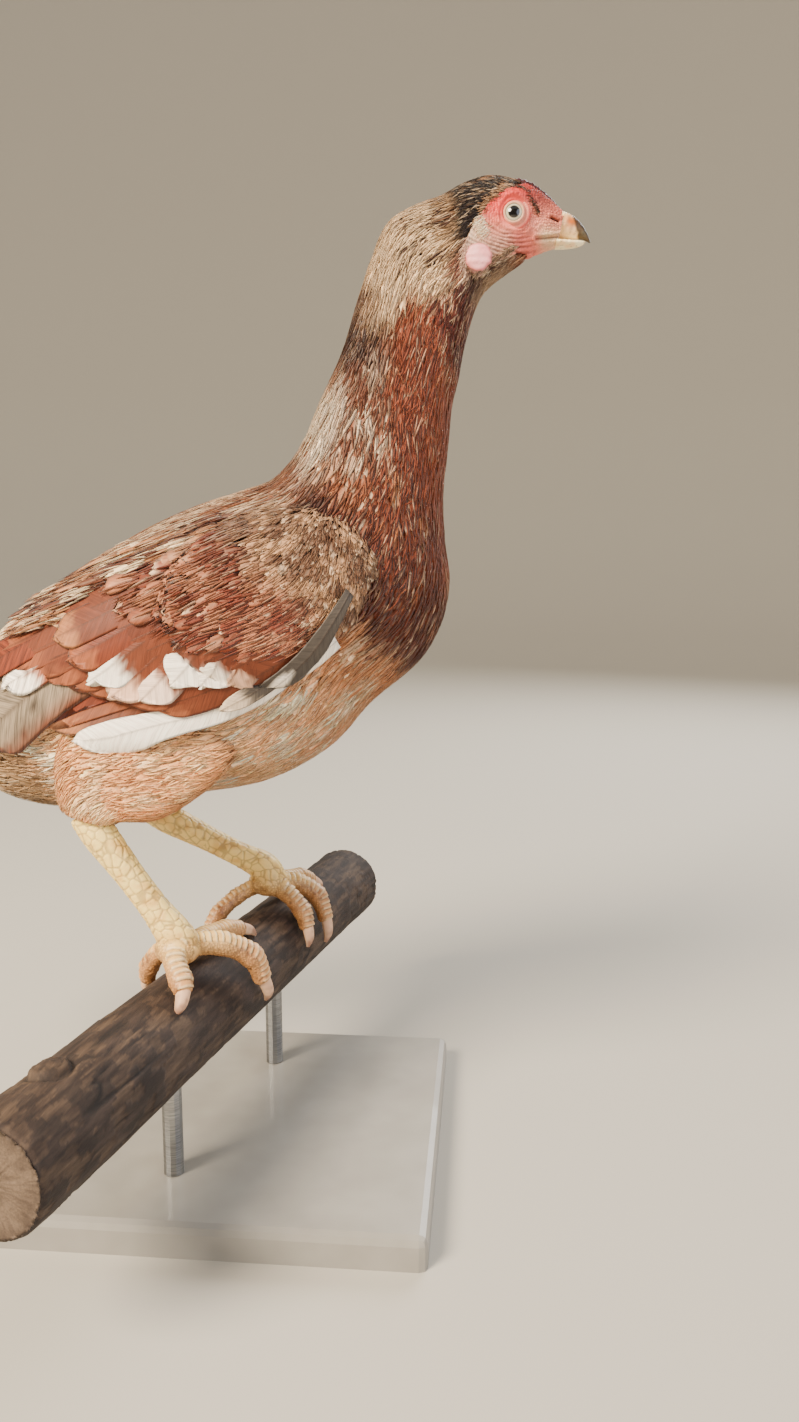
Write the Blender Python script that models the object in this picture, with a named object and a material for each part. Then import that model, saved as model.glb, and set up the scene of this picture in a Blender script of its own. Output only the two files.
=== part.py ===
"""An Aseel hen gripping a cut length of pole, as a still, life-size museum model.

The frame: metres, +X the way the hen faces, +Y her left, +Z up, and the origin at the
centre of the underside of the display stand's base. Sizes in the tables are millimetres.
The body is one loft from the beak's root to the tail's root, parted by thin flat cuts into
head, neck, torso and tail, so that neighbours meet face to face.
"""

import math
import random

import bmesh
import bpy
import numpy as np
from mathutils import Matrix, Vector

MM = 0.001
GAP = 0.0003                # clearance between pieces that touch
CUT_GAP = 0.00042           # how far a cutter is swollen, so that GAP is left at its edges too
SEED = 7

# Display stand
BASE_LENGTH, BASE_WIDTH, BASE_THICKNESS = 0.230, 0.200, 0.016
BASE_BEVEL = 0.004
ROD_DIAMETER, ROD_SIDES = 0.010, 12
ROD_LENGTH, ROD_SUNK = 0.050, 0.004     # ROD_SUNK is cut off again to the perch's shape
ROD_SPACING = 0.120         # between the rods' axes, along the perch

# Perch: a cut length of pole, which runs across under the hen and away to her left
PERCH_RADIUS = 0.024
PERCH_HEADING = math.radians(12.4)      # turn of its axis from +Y towards +X
PERCH_FROM, PERCH_TO = -0.190, 0.185    # its ends, measured along its axis
PERCH_Z = BASE_THICKNESS + ROD_LENGTH + PERCH_RADIUS
FOOT_ZONE = (-0.080, 0.118)             # the grip, where the pole is truly round
PERCH_SIDES = 20
# Rings of the pole as parts of its half length from its middle, and how far it is worn there
PERCH_STOPS = (-1.0, -0.98, -0.88, -0.74, -0.60, -0.46, -0.2, 0.1, 0.35, 0.64, 0.78, 0.9, 0.98, 1.0)
PERCH_WEAR, PERCH_END_WEAR = 0.0008, 0.0012
KNOT_PLACE, KNOT_TURN, KNOT_SUNK = -0.148, math.radians(-8), 0.001
KNOT_SIZE = (9.0, 8.0, 3.4)

# The hen's outline, from the beak's root to the tail's root:
# (x, z) of the upper line, (x, z) of the lower line, half width, shift of the widest line up
STATIONS = (
    (171.2, 476.2, 168.2, 461.2, 7.6, 0.10),        # beak's root
    (163.6, 482.6, 160.6, 459.0, 11.2, 0.12),
    (156.3, 487.6, 153.5, 456.2, 14.4, 0.15),
    (148.0, 490.6, 145.6, 451.3, 16.8, 0.15),       # eye
    (136.5, 492.8, 137.4, 445.6, 18.2, 0.10),
    (124.8, 490.0, 132.0, 439.6, 18.8, 0.05),       # ear
    (113.0, 484.5, 127.7, 429.3, 19.6, 0.0),        # nape
    (99.7, 480.0, 124.0, 415.5, 21.5, 0.0),
    (88.2, 472.5, 121.7, 402.5, 24.0, 0.0),
    (80.2, 455.5, 118.6, 389.0, 26.0, 0.0),
    (73.2, 435.0, 116.6, 368.0, 28.0, 0.0),         # middle of the neck
    (66.4, 414.1, 114.6, 346.9, 31.5, 0.0),
    (56.0, 392.1, 115.6, 324.0, 38.5, 0.0),
    (45.6, 369.7, 118.0, 305.3, 47.0, 0.0),         # shoulders
    (32.8, 354.9, 114.6, 285.4, 54.5, 0.05),
    (15.5, 348.4, 103.1, 265.1, 59.0, 0.10),
    (-2.1, 343.0, 79.1, 244.4, 61.0, 0.14),         # breast
    (-23.0, 334.8, 57.7, 221.0, 61.5, 0.16),
    (-44.2, 324.1, 26.0, 203.5, 60.0, 0.15),
    (-65.8, 311.7, -8.8, 196.5, 56.5, 0.10),
    (-87.7, 298.0, -54.9, 188.5, 51.0, 0.0),        # vent
    (-105.0, 284.8, -88.4, 188.5, 43.0, -0.05),
    (-120.5, 268.5, -113.9, 195.0, 32.5, -0.05),
    (-137.0, 250.5, -131.7, 209.5, 22.0, 0.0),      # tail's root
)
NECK_CUT, SHOULDER_CUT, TAIL_CUT = 6.0, 12.4, 22.0  # where the body is parted, in stations
HEAD_SIDES, BODY_SIDES = 22, 22
HEAD_RINGS, NECK_RINGS, TORSO_RINGS = 13, 11, 17

# Head
EYE_CENTRE = (147.6, 10.4, 472.4)
EYE_RADIUS = 7.4
BROW_CENTRE, BROW_SIZE = (146.6, 13.0, 479.6), (11.0, 4.4, 3.0)
LID_RADIUS, LID_THICKNESS, LID_SUNK = 5.0, 1.15, 0.5
LOBE_CENTRE, LOBE_SIZE = (131.5, 17.6, 452.4), (6.6, 2.8, 8.0)
UPPER_LID_REACH = 0.94      # the upper lid closes a little more than the lower one
EAR_CENTRE, EAR_SIZE = (132.6, 18.6, 466.0), (2.4, 2.0, 3.1)
MOUTH_CORNER, MOUTH_FRONT = (159.6, 463.6), (172.5, 465.0)
# How far the mouth's wedge lies from the mid plane at its inner edge and its outer one, and how
# much nearer it lies at its front
MOUTH_INNER, MOUTH_OUTER, MOUTH_NEARER = 10.2, 14.0, 4.6
NOSTRIL, NOSTRIL_SIZE = (166.2, 7.6, 472.2), (2.4, 2.2, 0.8)

# Beak: (x, z) of the ridge, (x, z) of the cutting edge, half width
UPPER_BEAK = (
    (172.0, 476.3, 169.5, 465.1, 7.0), (175.4, 474.9, 173.2, 464.8, 6.0),
    (178.6, 472.4, 176.8, 464.7, 4.7), (181.2, 468.9, 179.9, 464.6, 3.3),
    (183.1, 465.5, 182.2, 463.6, 1.7), (183.9, 463.1, 183.5, 462.8, 0.3),
)
LOWER_BEAK = (
    (169.3, 464.3, 168.8, 460.9, 6.3), (173.4, 464.1, 173.1, 460.8, 5.1),
    (177.2, 464.0, 177.0, 461.1, 3.7), (179.9, 463.9, 179.8, 461.8, 2.0),
    (181.6, 463.6, 181.5, 463.1, 0.4),
)

BEAK_SIDES = 14

# Pea comb: rows of bulbs from the forehead back
COMB_FRONT, COMB_BACK = 168.5, 147.5
COMB_BULBS = 4
COMB_ROWS = ((0.0, 3.0), (3.4, 2.2), (-3.4, 2.2))   # sideways place, bulb's radius
COMB_SEAT, COMB_BULB_LENGTH = (11.0, 4.6, 2.6), 2.9

# Wing, in a frame of its own on the flank: a runs from the bend to the tips, b up across it
WING_BEND = (83.7, 309.8)
WING_SLOPE = math.radians(25.0)
WING_PAD_CENTRE, WING_PAD_SIZE, WING_PAD_LIFT = (42.0, 9.0), (45.0, 34.0), 8.4
WING_PAD_SIDES, WING_PAD_RINGS, WING_PAD_ROUND = 20, (0.35, 0.62, 0.84, 0.97), 2.6
WING_PAD_UNDER = ((0.9, -4.0), (0.0, -6.0))     # reach and lift of the pad's underside
# tier: count, first and last root, first and last tip (a, b), width, lift off the flank, bow
WING_TIERS = {
    "primary": (4, (24, -14), (40, 6), (151, -15), (192, 14), 14.0, 1.6, -13.0),
    "secondary": (7, (30, -15), (52, 32), (140, -14), (178, 42), 14.5, 4.4, -6.0),
    "greater_covert": (7, (22, -15), (48, 32), (86, -14), (146, 40), 14.0, 7.2, -5.0),
    "alula": (2, (12, -14), (13, -8), (80, -27), (70, -19), 8.0, 7.2, -5.0),
}
VANE_LEAN = 1.8             # how much higher a vane's lower edge lies than its upper one
VANE_THICKNESS = 0.7
# A vane's outline: places along it, and its half width there as a part of the widest
LONG_SPANS = ((0.0, 0.28, 0.58, 0.84, 1.0), (0.42, 0.85, 1.0, 0.82, 0.22))
SHORT_SPANS = ((0.0, 0.40, 0.80, 1.0), (0.45, 0.92, 0.88, 0.25))

# Tail: pairs of vanes stacked like a roof, and a tier of coverts over their roots
TAIL_ROOT, TAIL_CORE_END = (-124.0, 237.0), (-154.0, 216.0)
TAIL_CORE_STATION, TAIL_CORE_SHRINKS = 23.0, (0.62, 0.25)
TAIL_DROP = math.radians(34.0)
# pairs, length, loss of length for each pair outward, width, height above the root, outline
TAIL_TIERS = (
    (5, 112.0, 4.0, 24.0, 6.0, LONG_SPANS),
    (3, 58.0, 3.0, 18.0, 10.5, SHORT_SPANS),
)
TAIL_SAG = 2.5
TAIL_LEVEL = 1.15           # rise from one vane to the next one of the stack
TAIL_STEP, TAIL_TILT = 5.6, math.radians(5.0)

# Legs: centre (x, y, z), half width fore and aft, half width sideways, for the right side's
# (the hen's own) and the left side's different steps
THIGHS = {
    "right": ((-6, -37, 262, 40, 20), (-20, -43, 235, 40, 22), (-32, -47.5, 212, 33, 21.5),
              (-43, -50, 198, 24.5, 16.5), (-51, -50.5, 189.5, 13, 11)),
    "left": ((-6, 37, 258, 40, 20), (-18, 43, 229, 38, 22), (-30, 47, 203, 30, 20.5),
             (-42, 46, 184, 20, 15), (-50.5, 45, 174, 12, 10.5)),
}
SHANKS = {
    "right": ((-57.0, -50, 191.0), (-13.5, -48.8, 137.0)),
    "left": ((-56.0, 44.5, 173.2), (9.5, 52.5, 139.2)),
}
SHANK_RADII = (10.0, 8.6, 7.4, 7.2, 7.8, 10.0)
PAD_RADII, PAD_OFFSET = (11.5, 11.5, 8.5), (3.0, 0.0, -9.0)     # its place from the shank's end
THIGH_SIDES, SHANK_SIDES, TOE_SIDES, CLAW_SIDES = 18, 14, 8, 7
THIGH_RINGS, SHANK_RINGS, TOE_RINGS, CLAW_RINGS = 10, 9, 8, 4
TOE_OVERRUN = 0.12          # how far a toe runs on under the root of its claw
# Radii of a toe as parts of its root's and its end's, and of a claw as parts of the toe's end
TOE_ROOT_RADII, TOE_END_RADII = (1.0, 0.95, 0.98), (1.0, 0.8)
CLAW_RADII, CLAW_POINT = (0.58, 0.5), 0.35
# Toes: points of the centre line and the claw's bend and tip, then radius at root and end
TOES = {
    "right": {
        "middle": ((-8, -47, 129), (8, -36, 126), (20.5, -27, 116.5), (25, -23, 103.5),
                   (27, -20, 95), (24.5, -17, 86), 6.2, 4.6),
        "outer": ((-9, -49, 128), (-8.5, -60, 126), (-3.5, -68, 119.5), (-1.5, -71, 115.5),
                  (-1.5, -76, 111), (-4, -80, 105), 5.8, 4.6),
        "inner": ((-8, -45, 128), (-4, -24, 124.5), (2, -6, 121.5), (6.5, 5, 118.5),
                  (10.5, 11, 115.5), (15, 15, 110), 5.6, 4.4),
        "hind": ((-12, -47, 128), (-22, -43, 122.5), (-28.5, -39, 114), (-30.8, -36, 106.5),
                 (-32, -34, 101), (-31, -32, 94), 5.0, 4.0),
    },
    "left": {
        "middle": ((12, 54, 129), (27, 64, 126), (38, 69, 117), (43.5, 67, 104),
                   (45, 65, 96), (43, 62, 86.5), 5.9, 4.4),
        "outer": ((11, 57, 128), (17, 75, 124.5), (24, 91, 121), (29, 99, 117),
                  (33, 104, 112.5), (35, 107, 106), 5.5, 4.2),
        "inner": ((11, 52, 128.5), (23.5, 51, 124), (33, 48.5, 114), (36, 46.5, 105.5),
                  (37.3, 44.5, 99.5), (36.5, 42.5, 91.5), 5.5, 4.3),
        "hind": ((6, 52, 128), (-5, 46, 122.5), (-13.5, 38, 115), (-17.5, 34, 108.5),
                 (-20, 32, 103), (-20.5, 30, 96), 4.9, 3.9),
    },
}

# Colour (linear), roughness and metallic of each finish
FINISHES = {
    "rufous_plumage": ((0.42, 0.17, 0.075), 0.85, 0.0),
    "mottled_hackle": ((0.52, 0.33, 0.20), 0.85, 0.0),
    "red_skin": ((0.52, 0.11, 0.09), 0.60, 0.0),
    "pale_lobe": ((0.70, 0.38, 0.34), 0.60, 0.0),
    "horn_beak": ((0.66, 0.43, 0.22), 0.45, 0.0),
    "glossy_eye": ((0.30, 0.28, 0.20), 0.10, 0.0),
    "yellow_scales": ((0.68, 0.52, 0.25), 0.60, 0.0),
    "pink_claw": ((0.55, 0.36, 0.27), 0.45, 0.0),
    "grey_bark": ((0.13, 0.085, 0.06), 0.90, 0.0),
    "painted_base": ((0.62, 0.60, 0.56), 0.50, 0.0),
    "steel_rod": ((0.55, 0.55, 0.56), 0.35, 1.0),
}


def clear_scene():
    """Remove whatever the file opened with, and start the model's collection."""
    for item in list(bpy.data.objects):
        bpy.data.objects.remove(item, do_unlink=True)
    collection = bpy.data.collections.new("aseel_hen")
    bpy.context.scene.collection.children.link(collection)
    return collection


def make_finishes():
    """One Principled material for each finish."""
    made = {}
    for name, (colour, roughness, metallic) in FINISHES.items():
        material = bpy.data.materials.new(name)
        material.use_nodes = True
        shader = material.node_tree.nodes["Principled BSDF"]
        shader.inputs["Base Color"].default_value = (*colour, 1.0)
        shader.inputs["Roughness"].default_value = roughness
        shader.inputs["Metallic"].default_value = metallic
        made[name] = material
    return made


def mesh_object(name, build, finish):
    """An object from the bmesh that build fills, in triangles, with its faces outward."""
    shape = bmesh.new()
    build(shape)
    bmesh.ops.triangulate(shape, faces=shape.faces[:])
    bmesh.ops.recalc_face_normals(shape, faces=shape.faces[:])
    mesh = bpy.data.meshes.new(name)
    shape.to_mesh(mesh)
    shape.free()
    mesh.materials.append(MATERIALS[finish])
    piece = bpy.data.objects.new(name, mesh)
    MODEL.objects.link(piece)
    return piece


def loft(name, rings, finish):
    """A closed body through rings of points of one count, capped by a fan at each end."""
    def build(shape):
        rows = [[shape.verts.new(point) for point in ring] for ring in rings]
        count = len(rows[0])
        for near, far in zip(rows, rows[1:]):
            for i in range(count):
                j = (i + 1) % count
                shape.faces.new((near[i], far[i], far[j]))
                shape.faces.new((near[i], far[j], near[j]))
        for row in (rows[0], rows[-1]):
            centre = shape.verts.new(sum((v.co for v in row), Vector()) / count)
            for i in range(count):
                shape.faces.new((centre, row[i], row[(i + 1) % count]))
    return mesh_object(name, build, finish)


def ellipsoid(name, centre, radii, finish, sides=12, levels=8):
    """A stretched ball, by its centre and three half widths in millimetres."""
    def build(shape):
        bmesh.ops.create_uvsphere(shape, u_segments=sides, v_segments=levels, radius=1.0)
        for vert in shape.verts:
            vert.co = Vector([c * MM + v * r * MM for c, v, r in zip(centre, vert.co, radii)])
    return mesh_object(name, build, finish)


def curve_through(values, steps):
    """Rows of numbers eased through the given ones by a Catmull-Rom curve."""
    rows = np.array(values, dtype=float)
    return [smooth_row(rows, t) for t in np.linspace(0.0, len(rows) - 1.0, steps)]


def smooth_row(rows, t):
    """The row at place t, where a whole number falls on a row of the table."""
    last = len(rows) - 1
    i = int(min(max(math.floor(t), 0), last - 1))
    f = t - i
    before, start, end, after = (rows[max(i - 1, 0)], rows[i], rows[i + 1], rows[min(i + 2, last)])
    return 0.5 * (2 * start + (end - before) * f
                  + (2 * before - 5 * start + 4 * end - after) * f * f
                  + (3 * start - before - 3 * end + after) * f ** 3)


BODY_ROWS = np.array(STATIONS)


def body_point(s, theta, lift=0.0):
    """Point of the body in metres; theta turns from the upper line down the right side."""
    xt, zt, xb, zb, half, shift = smooth_row(BODY_ROWS, s)
    middle = np.array(((xt + xb) / 2, 0.0, (zt + zb) / 2))
    reach = np.array(((xt - xb) / 2, 0.0, (zt - zb) / 2))
    across = np.array((0.0, -half * math.sin(theta) * (1 + shift * math.cos(theta)), 0.0))
    point = (middle + reach * math.cos(theta) + across) * MM
    if lift:
        point = point + body_normal(s, theta) * lift * MM
    return point


def body_normal(s, theta):
    """Unit outward normal of the body's surface."""
    small = 0.02
    along = body_point(min(s + small, len(BODY_ROWS) - 1), theta) - body_point(s - small, theta)
    around = body_point(s, theta + small) - body_point(s, theta - small)
    normal = np.cross(along, around)
    return normal / np.linalg.norm(normal)


def turns_round(sides):
    """Angles at equal steps round a circle."""
    return [2 * math.pi * i / sides for i in range(sides)]


def body_ring(s, sides):
    return [body_point(s, turn) for turn in turns_round(sides)]


def section_normal(s):
    """The way out of the flat section at s, towards the tail."""
    xt, zt, xb, zb = smooth_row(BODY_ROWS, s)[:4]
    away = np.array((-(zt - zb), 0.0, xt - xb))
    return away / np.linalg.norm(away)


def body_length(name, start, end, rings, sides, finish):
    """The body between two flat cuts; its first ring keeps GAP from the piece before."""
    rows = [body_ring(s, sides) for s in np.linspace(start, end, rings)]
    if start > 0:
        rows[0] = [point + section_normal(start) * GAP for point in rows[0]]
    return loft(name, rows, finish)


def flank_place(x, z):
    """The station and angle of the body's surface that the side view shows at x, z (mm)."""
    low, high = SHOULDER_CUT - 3.0, len(BODY_ROWS) - 1.0
    for _ in range(36):
        s = (low + high) / 2
        xt, zt, xb, zb = smooth_row(BODY_ROWS, s)[:4]
        turn = (xt - xb) * (z - zb) - (zt - zb) * (x - xb)
        low, high = (s, high) if turn > 0 else (low, s)
    part = ((x - xb) * (xt - xb) + (z - zb) * (zt - zb)) / ((xt - xb) ** 2 + (zt - zb) ** 2)
    return s, math.acos(min(max(2 * part - 1, -0.97), 0.97))


def wing_point(a, b, lift, side):
    """Point of the folded wing on the flank: a towards the tips, b up across, lift outward."""
    x = WING_BEND[0] - a * math.cos(WING_SLOPE) - b * math.sin(WING_SLOPE)
    z = WING_BEND[1] - a * math.sin(WING_SLOPE) + b * math.cos(WING_SLOPE)
    point = body_point(*flank_place(x, z), lift)
    return (point[0], point[1] if side == "right" else -point[1], point[2])


def keep_largest(piece):
    """Keep only the largest closed surface of a piece."""
    shape = bmesh.new()
    shape.from_mesh(piece.data)
    left, groups = set(shape.verts), []
    while left:
        stack, group = [left.pop()], []
        while stack:
            vert = stack.pop()
            group.append(vert)
            for edge in vert.link_edges:
                other = edge.other_vert(vert)
                if other in left:
                    left.remove(other)
                    stack.append(other)
        groups.append(group)
    groups.sort(key=lambda group: -sum(face.calc_area() for v in group for face in v.link_faces))
    for group in groups[1:]:
        bmesh.ops.delete(shape, geom=group, context="VERTS")
    bmesh.ops.triangulate(shape, faces=shape.faces[:])
    shape.to_mesh(piece.data)
    shape.free()


def combine(piece, operation, others, solver="EXACT"):
    """One Boolean with a collection of closed pieces, applied; the pieces are then removed."""
    group = bpy.data.collections.new("boolean_pieces")
    bpy.context.scene.collection.children.link(group)
    for other in others:
        for home in list(other.users_collection):
            home.objects.unlink(other)
        group.objects.link(other)
    modifier = piece.modifiers.new(operation.title(), "BOOLEAN")
    modifier.operation = operation
    modifier.operand_type = "COLLECTION"
    modifier.collection = group
    modifier.solver = solver
    bpy.context.view_layer.update()
    result = bpy.data.meshes.new_from_object(piece.evaluated_get(
        bpy.context.evaluated_depsgraph_get()))
    piece.modifiers.remove(modifier)
    piece.data = result
    result.name = piece.name
    for other in others:
        bpy.data.objects.remove(other, do_unlink=True)
    bpy.data.collections.remove(group)
    keep_largest(piece)


def swollen(piece, amount=CUT_GAP):
    """A copy of a piece, moved out along its normals, to cut the neighbour clear of it."""
    copy = bpy.data.objects.new(piece.name + "_cutter", piece.data.copy())
    MODEL.objects.link(copy)
    offsets = [vert.normal.copy() for vert in copy.data.vertices]
    for vert, offset in zip(copy.data.vertices, offsets):
        vert.co += offset * amount
    return copy


def clear_of(piece, *neighbours):
    combine(piece, "DIFFERENCE", [swollen(neighbour) for neighbour in neighbours])


def path_rings(points, sides):
    """Rings across a path; each row is x, y, z, half width in the stride, half width across."""
    rows = np.array(points, dtype=float)
    places = rows[:, :3] * MM
    rings, across = [], np.array((0.0, 1.0, 0.0))
    for i, row in enumerate(rows):
        ahead = places[min(i + 1, len(rows) - 1)] - places[max(i - 1, 0)]
        ahead = ahead / np.linalg.norm(ahead)
        if i == 0 and abs(ahead[1]) > 0.8:
            across = np.array((1.0, 0.0, 0.0))
        across = across - ahead * across.dot(ahead)
        across = across / np.linalg.norm(across)
        stride = np.cross(ahead, across)
        rings.append([places[i] + stride * math.cos(turn) * row[3] * MM
                      + across * math.sin(turn) * row[4] * MM for turn in turns_round(sides)])
    return rings


def tube(name, places, radii, steps, sides, finish):
    """A round limb through a few places, with the radius eased along it."""
    spread = np.interp(np.linspace(0, 1, len(places)), np.linspace(0, 1, len(radii)), radii)
    rows = [(*place, radius, radius) for place, radius in zip(places, spread)]
    return loft(name, path_rings(curve_through(rows, steps), sides), finish)


def vane(name, place, finish, spans, widths):
    """A feather's vane: place(u, v, rise) gives a point from its root to its tip and across.

    Both faces are split into triangles alike, so that a curved vane never crosses itself.
    """
    def build(shape):
        faces = []
        for rise in (0.5, -0.5):
            faces.append([[shape.verts.new(place(u, v * w, rise * (1.0 - 0.35 * u)))
                           for v in (-1.0, 0.0, 1.0)] for u, w in zip(spans, widths)])
        top, under = faces
        for grid in faces:
            for i in range(len(spans) - 1):
                for j in range(2):
                    shape.faces.new((grid[i][j], grid[i + 1][j], grid[i + 1][j + 1]))
                    shape.faces.new((grid[i][j], grid[i + 1][j + 1], grid[i][j + 1]))
        rim = [(i, 0) for i in range(len(spans))] + [(len(spans) - 1, 1)]
        rim += [(i, 2) for i in reversed(range(len(spans)))] + [(0, 1)]
        for (i, j), (k, l) in zip(rim, rim[1:] + rim[:1]):
            shape.faces.new((top[i][j], top[k][l], under[k][l]))
            shape.faces.new((top[i][j], under[k][l], under[i][j]))
    return mesh_object(name, build, finish)


def wing_vane(side, root, tip, width, lift, bow, jitter, spans):
    """One feather of the folded wing, its lower edge lying over the next one below."""
    length = math.dist(root, tip)
    along = ((tip[0] - root[0]) / length, (tip[1] - root[1]) / length)

    def place(u, v, rise):
        reach = length * (1 + jitter) * u
        out = v * width / 2 + bow * 4 * u * (1 - u) / 2
        a = root[0] + along[0] * reach - along[1] * out
        b = root[1] + along[1] * reach + along[0] * out
        height = lift - VANE_LEAN * v / 2 + rise * VANE_THICKNESS
        return wing_point(a, b, height, side)
    return vane("wing_vane", place, "rufous_plumage", *spans)


def wing_pad(side):
    """The padded shoulder that the wing's feathers grow from."""
    centre, size = WING_PAD_CENTRE, WING_PAD_SIZE
    levels = [(reach, WING_PAD_LIFT * math.sqrt(1 - reach ** WING_PAD_ROUND))
              for reach in WING_PAD_RINGS] + [WING_PAD_UNDER[0]]

    def build(shape):
        rows = []
        for reach, lift in levels:
            rows.append([shape.verts.new(wing_point(
                centre[0] + size[0] * reach * math.cos(turn),
                centre[1] + size[1] * reach * math.sin(turn), lift, side))
                for turn in turns_round(WING_PAD_SIDES)])
        for near, far in zip(rows, rows[1:]):
            for i in range(WING_PAD_SIDES):
                j = (i + 1) % WING_PAD_SIDES
                shape.faces.new((near[i], near[j], far[j], far[i]))
        for row, lift in ((rows[0], WING_PAD_LIFT), (rows[-1], WING_PAD_UNDER[1][1])):
            top = shape.verts.new(wing_point(*centre, lift, side))
            for i in range(WING_PAD_SIDES):
                shape.faces.new((top, row[i], row[(i + 1) % WING_PAD_SIDES]))
    return mesh_object("wing_" + side, build, "rufous_plumage")


def make_wing(side, torso, thigh, chance):
    """The folded wing: a padded shoulder and tiers of overlapping flight feathers."""
    wing, vanes = wing_pad(side), []
    for tier, (count, root_a, root_b, tip_a, tip_b, width, lift, bow) in WING_TIERS.items():
        for i in range(count):
            f = i / (count - 1)
            root = [p + (q - p) * f for p, q in zip(root_a, root_b)]
            tip = [p + (q - p) * f for p, q in zip(tip_a, tip_b)]
            spans = SHORT_SPANS if tier == "greater_covert" else LONG_SPANS
            vanes.append(wing_vane(side, root, tip, width, lift, bow * (1 - f),
                                   chance.uniform(-0.02, 0.02), spans))
    combine(wing, "UNION", vanes)
    clear_of(wing, torso, thigh)
    return wing


def tail_vane(side, rank, level, length, width, raised, spans):
    """One vane of the roof-shaped tail: rank 0 is in the middle, level is its place down."""
    drop, tilt = TAIL_DROP, TAIL_TILT * (rank + 1)
    ahead = np.array((-math.cos(drop), 0.0, -math.sin(drop)))
    up = np.array((-math.sin(drop), 0.0, math.cos(drop)))
    left = np.array((0.0, 1.0, 0.0))
    offset, fall = width / 2 - 2.0, 0.0
    for step in range(rank):
        angle = TAIL_TILT * (step + 1.5)
        offset += TAIL_STEP * math.cos(angle)
        fall += TAIL_STEP * math.sin(angle)

    def place(u, v, rise):
        spread = 0.45 + 0.55 * u
        across = v * width / 2
        sideways = side * (offset * spread + across * math.cos(tilt))
        height = (raised - level * TAIL_LEVEL - fall * spread - across * math.sin(tilt)
                  - TAIL_SAG * u * u + rise * VANE_THICKNESS)
        start = np.array((TAIL_ROOT[0], 0.0, TAIL_ROOT[1]))
        return (start + ahead * length * u + left * sideways + up * height) * MM
    return vane("tail_vane", place, "rufous_plumage", *spans)


def make_tail():
    """The short, low tail: the rump's end, a roof of vanes, and coverts over their roots."""
    rows = [body_ring(s, BODY_SIDES) for s in np.linspace(TAIL_CUT, TAIL_CORE_STATION, 4)]
    rows[0] = [point + section_normal(TAIL_CUT) * GAP for point in rows[0]]
    end = np.array((TAIL_CORE_END[0], 0.0, TAIL_CORE_END[1])) * MM
    for shrink in TAIL_CORE_SHRINKS:
        rows.append([end + (point - end) * shrink for point in rows[3]])
    tail = loft("tail", rows, "rufous_plumage")
    vanes = []
    for pairs, length, loss, width, raised, spans in TAIL_TIERS:
        for rank in range(pairs):
            for side in (1, -1):
                level = 2 * rank + (0 if side > 0 else 1)
                vanes.append(tail_vane(side, rank, level, length - loss * rank, width, raised,
                                       spans))
    combine(tail, "UNION", vanes)
    return tail


def make_head():
    """The head with its brow, lids, ear, mouth line and nostrils."""
    head = body_length("head", 0.0, NECK_CUT, HEAD_RINGS, HEAD_SIDES, "red_skin")
    added, cuts = [], []
    for side in (-1, 1):
        eye, ear, brow, nostril = ((x, side * y, z) for x, y, z in
                                   (EYE_CENTRE, EAR_CENTRE, BROW_CENTRE, NOSTRIL))
        rim = EYE_CENTRE[1] + math.sqrt(EYE_RADIUS ** 2 - LID_RADIUS ** 2) - LID_SUNK
        added.append(ellipsoid("brow", brow, BROW_SIZE, "red_skin", 10, 6))
        added.append(lid_ring((eye[0], side * rim, eye[2])))
        cuts.append(ellipsoid("socket", eye, [EYE_RADIUS + GAP / MM] * 3, "red_skin", 14, 9))
        cuts.append(ellipsoid("ear", ear, EAR_SIZE, "red_skin", 8, 5))
        cuts.append(ellipsoid("nostril", nostril, NOSTRIL_SIZE, "red_skin", 6, 4))
        cuts.append(mouth_slit(side))
    combine(head, "UNION", added)
    combine(head, "DIFFERENCE", cuts)
    return head


def lid_ring(centre):
    """Upper and lower lid as one rounded rim round the eye's opening."""
    around, across = 12, 4

    def build(shape):
        rows = []
        for i in range(around):
            turn = 2 * math.pi * i / around
            rim = LID_RADIUS * (1.0 if math.sin(turn) < 0 else UPPER_LID_REACH)
            row = []
            for j in range(across):
                bend = 2 * math.pi * j / across
                reach = rim + LID_THICKNESS * math.cos(bend)
                row.append(shape.verts.new(Vector((
                    (centre[0] + reach * math.cos(turn)) * MM,
                    (centre[1] + LID_THICKNESS * 1.5 * math.sin(bend)) * MM,
                    (centre[2] + reach * math.sin(turn)) * MM))))
            rows.append(row)
        for i in range(around):
            for j in range(across):
                near, far, k = rows[i], rows[(i + 1) % around], (j + 1) % across
                shape.faces.new((near[j], near[k], far[k], far[j]))
    return mesh_object("lid", build, "red_skin")


def mouth_slit(side):
    """A thin wedge that cuts the line of the mouth into the cheek, back from the beak."""
    ends = ((*MOUTH_CORNER, 0.4, 0.0), (*MOUTH_FRONT, 1.0, MOUTH_NEARER))

    def build(shape):
        corners = []
        for y, thin, pull in ((MOUTH_INNER, 0.15, 1.0), (MOUTH_OUTER, 0.45, 0.0)):
            for x, z, narrow, nearer in ends:
                for way in (-1, 1):
                    corners.append(shape.verts.new((x * MM, side * (y - nearer - pull) * MM,
                                                    (z + way * thin * narrow) * MM)))
        bmesh.ops.convex_hull(shape, input=corners)
    return mesh_object("mouth", build, "red_skin")


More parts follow.
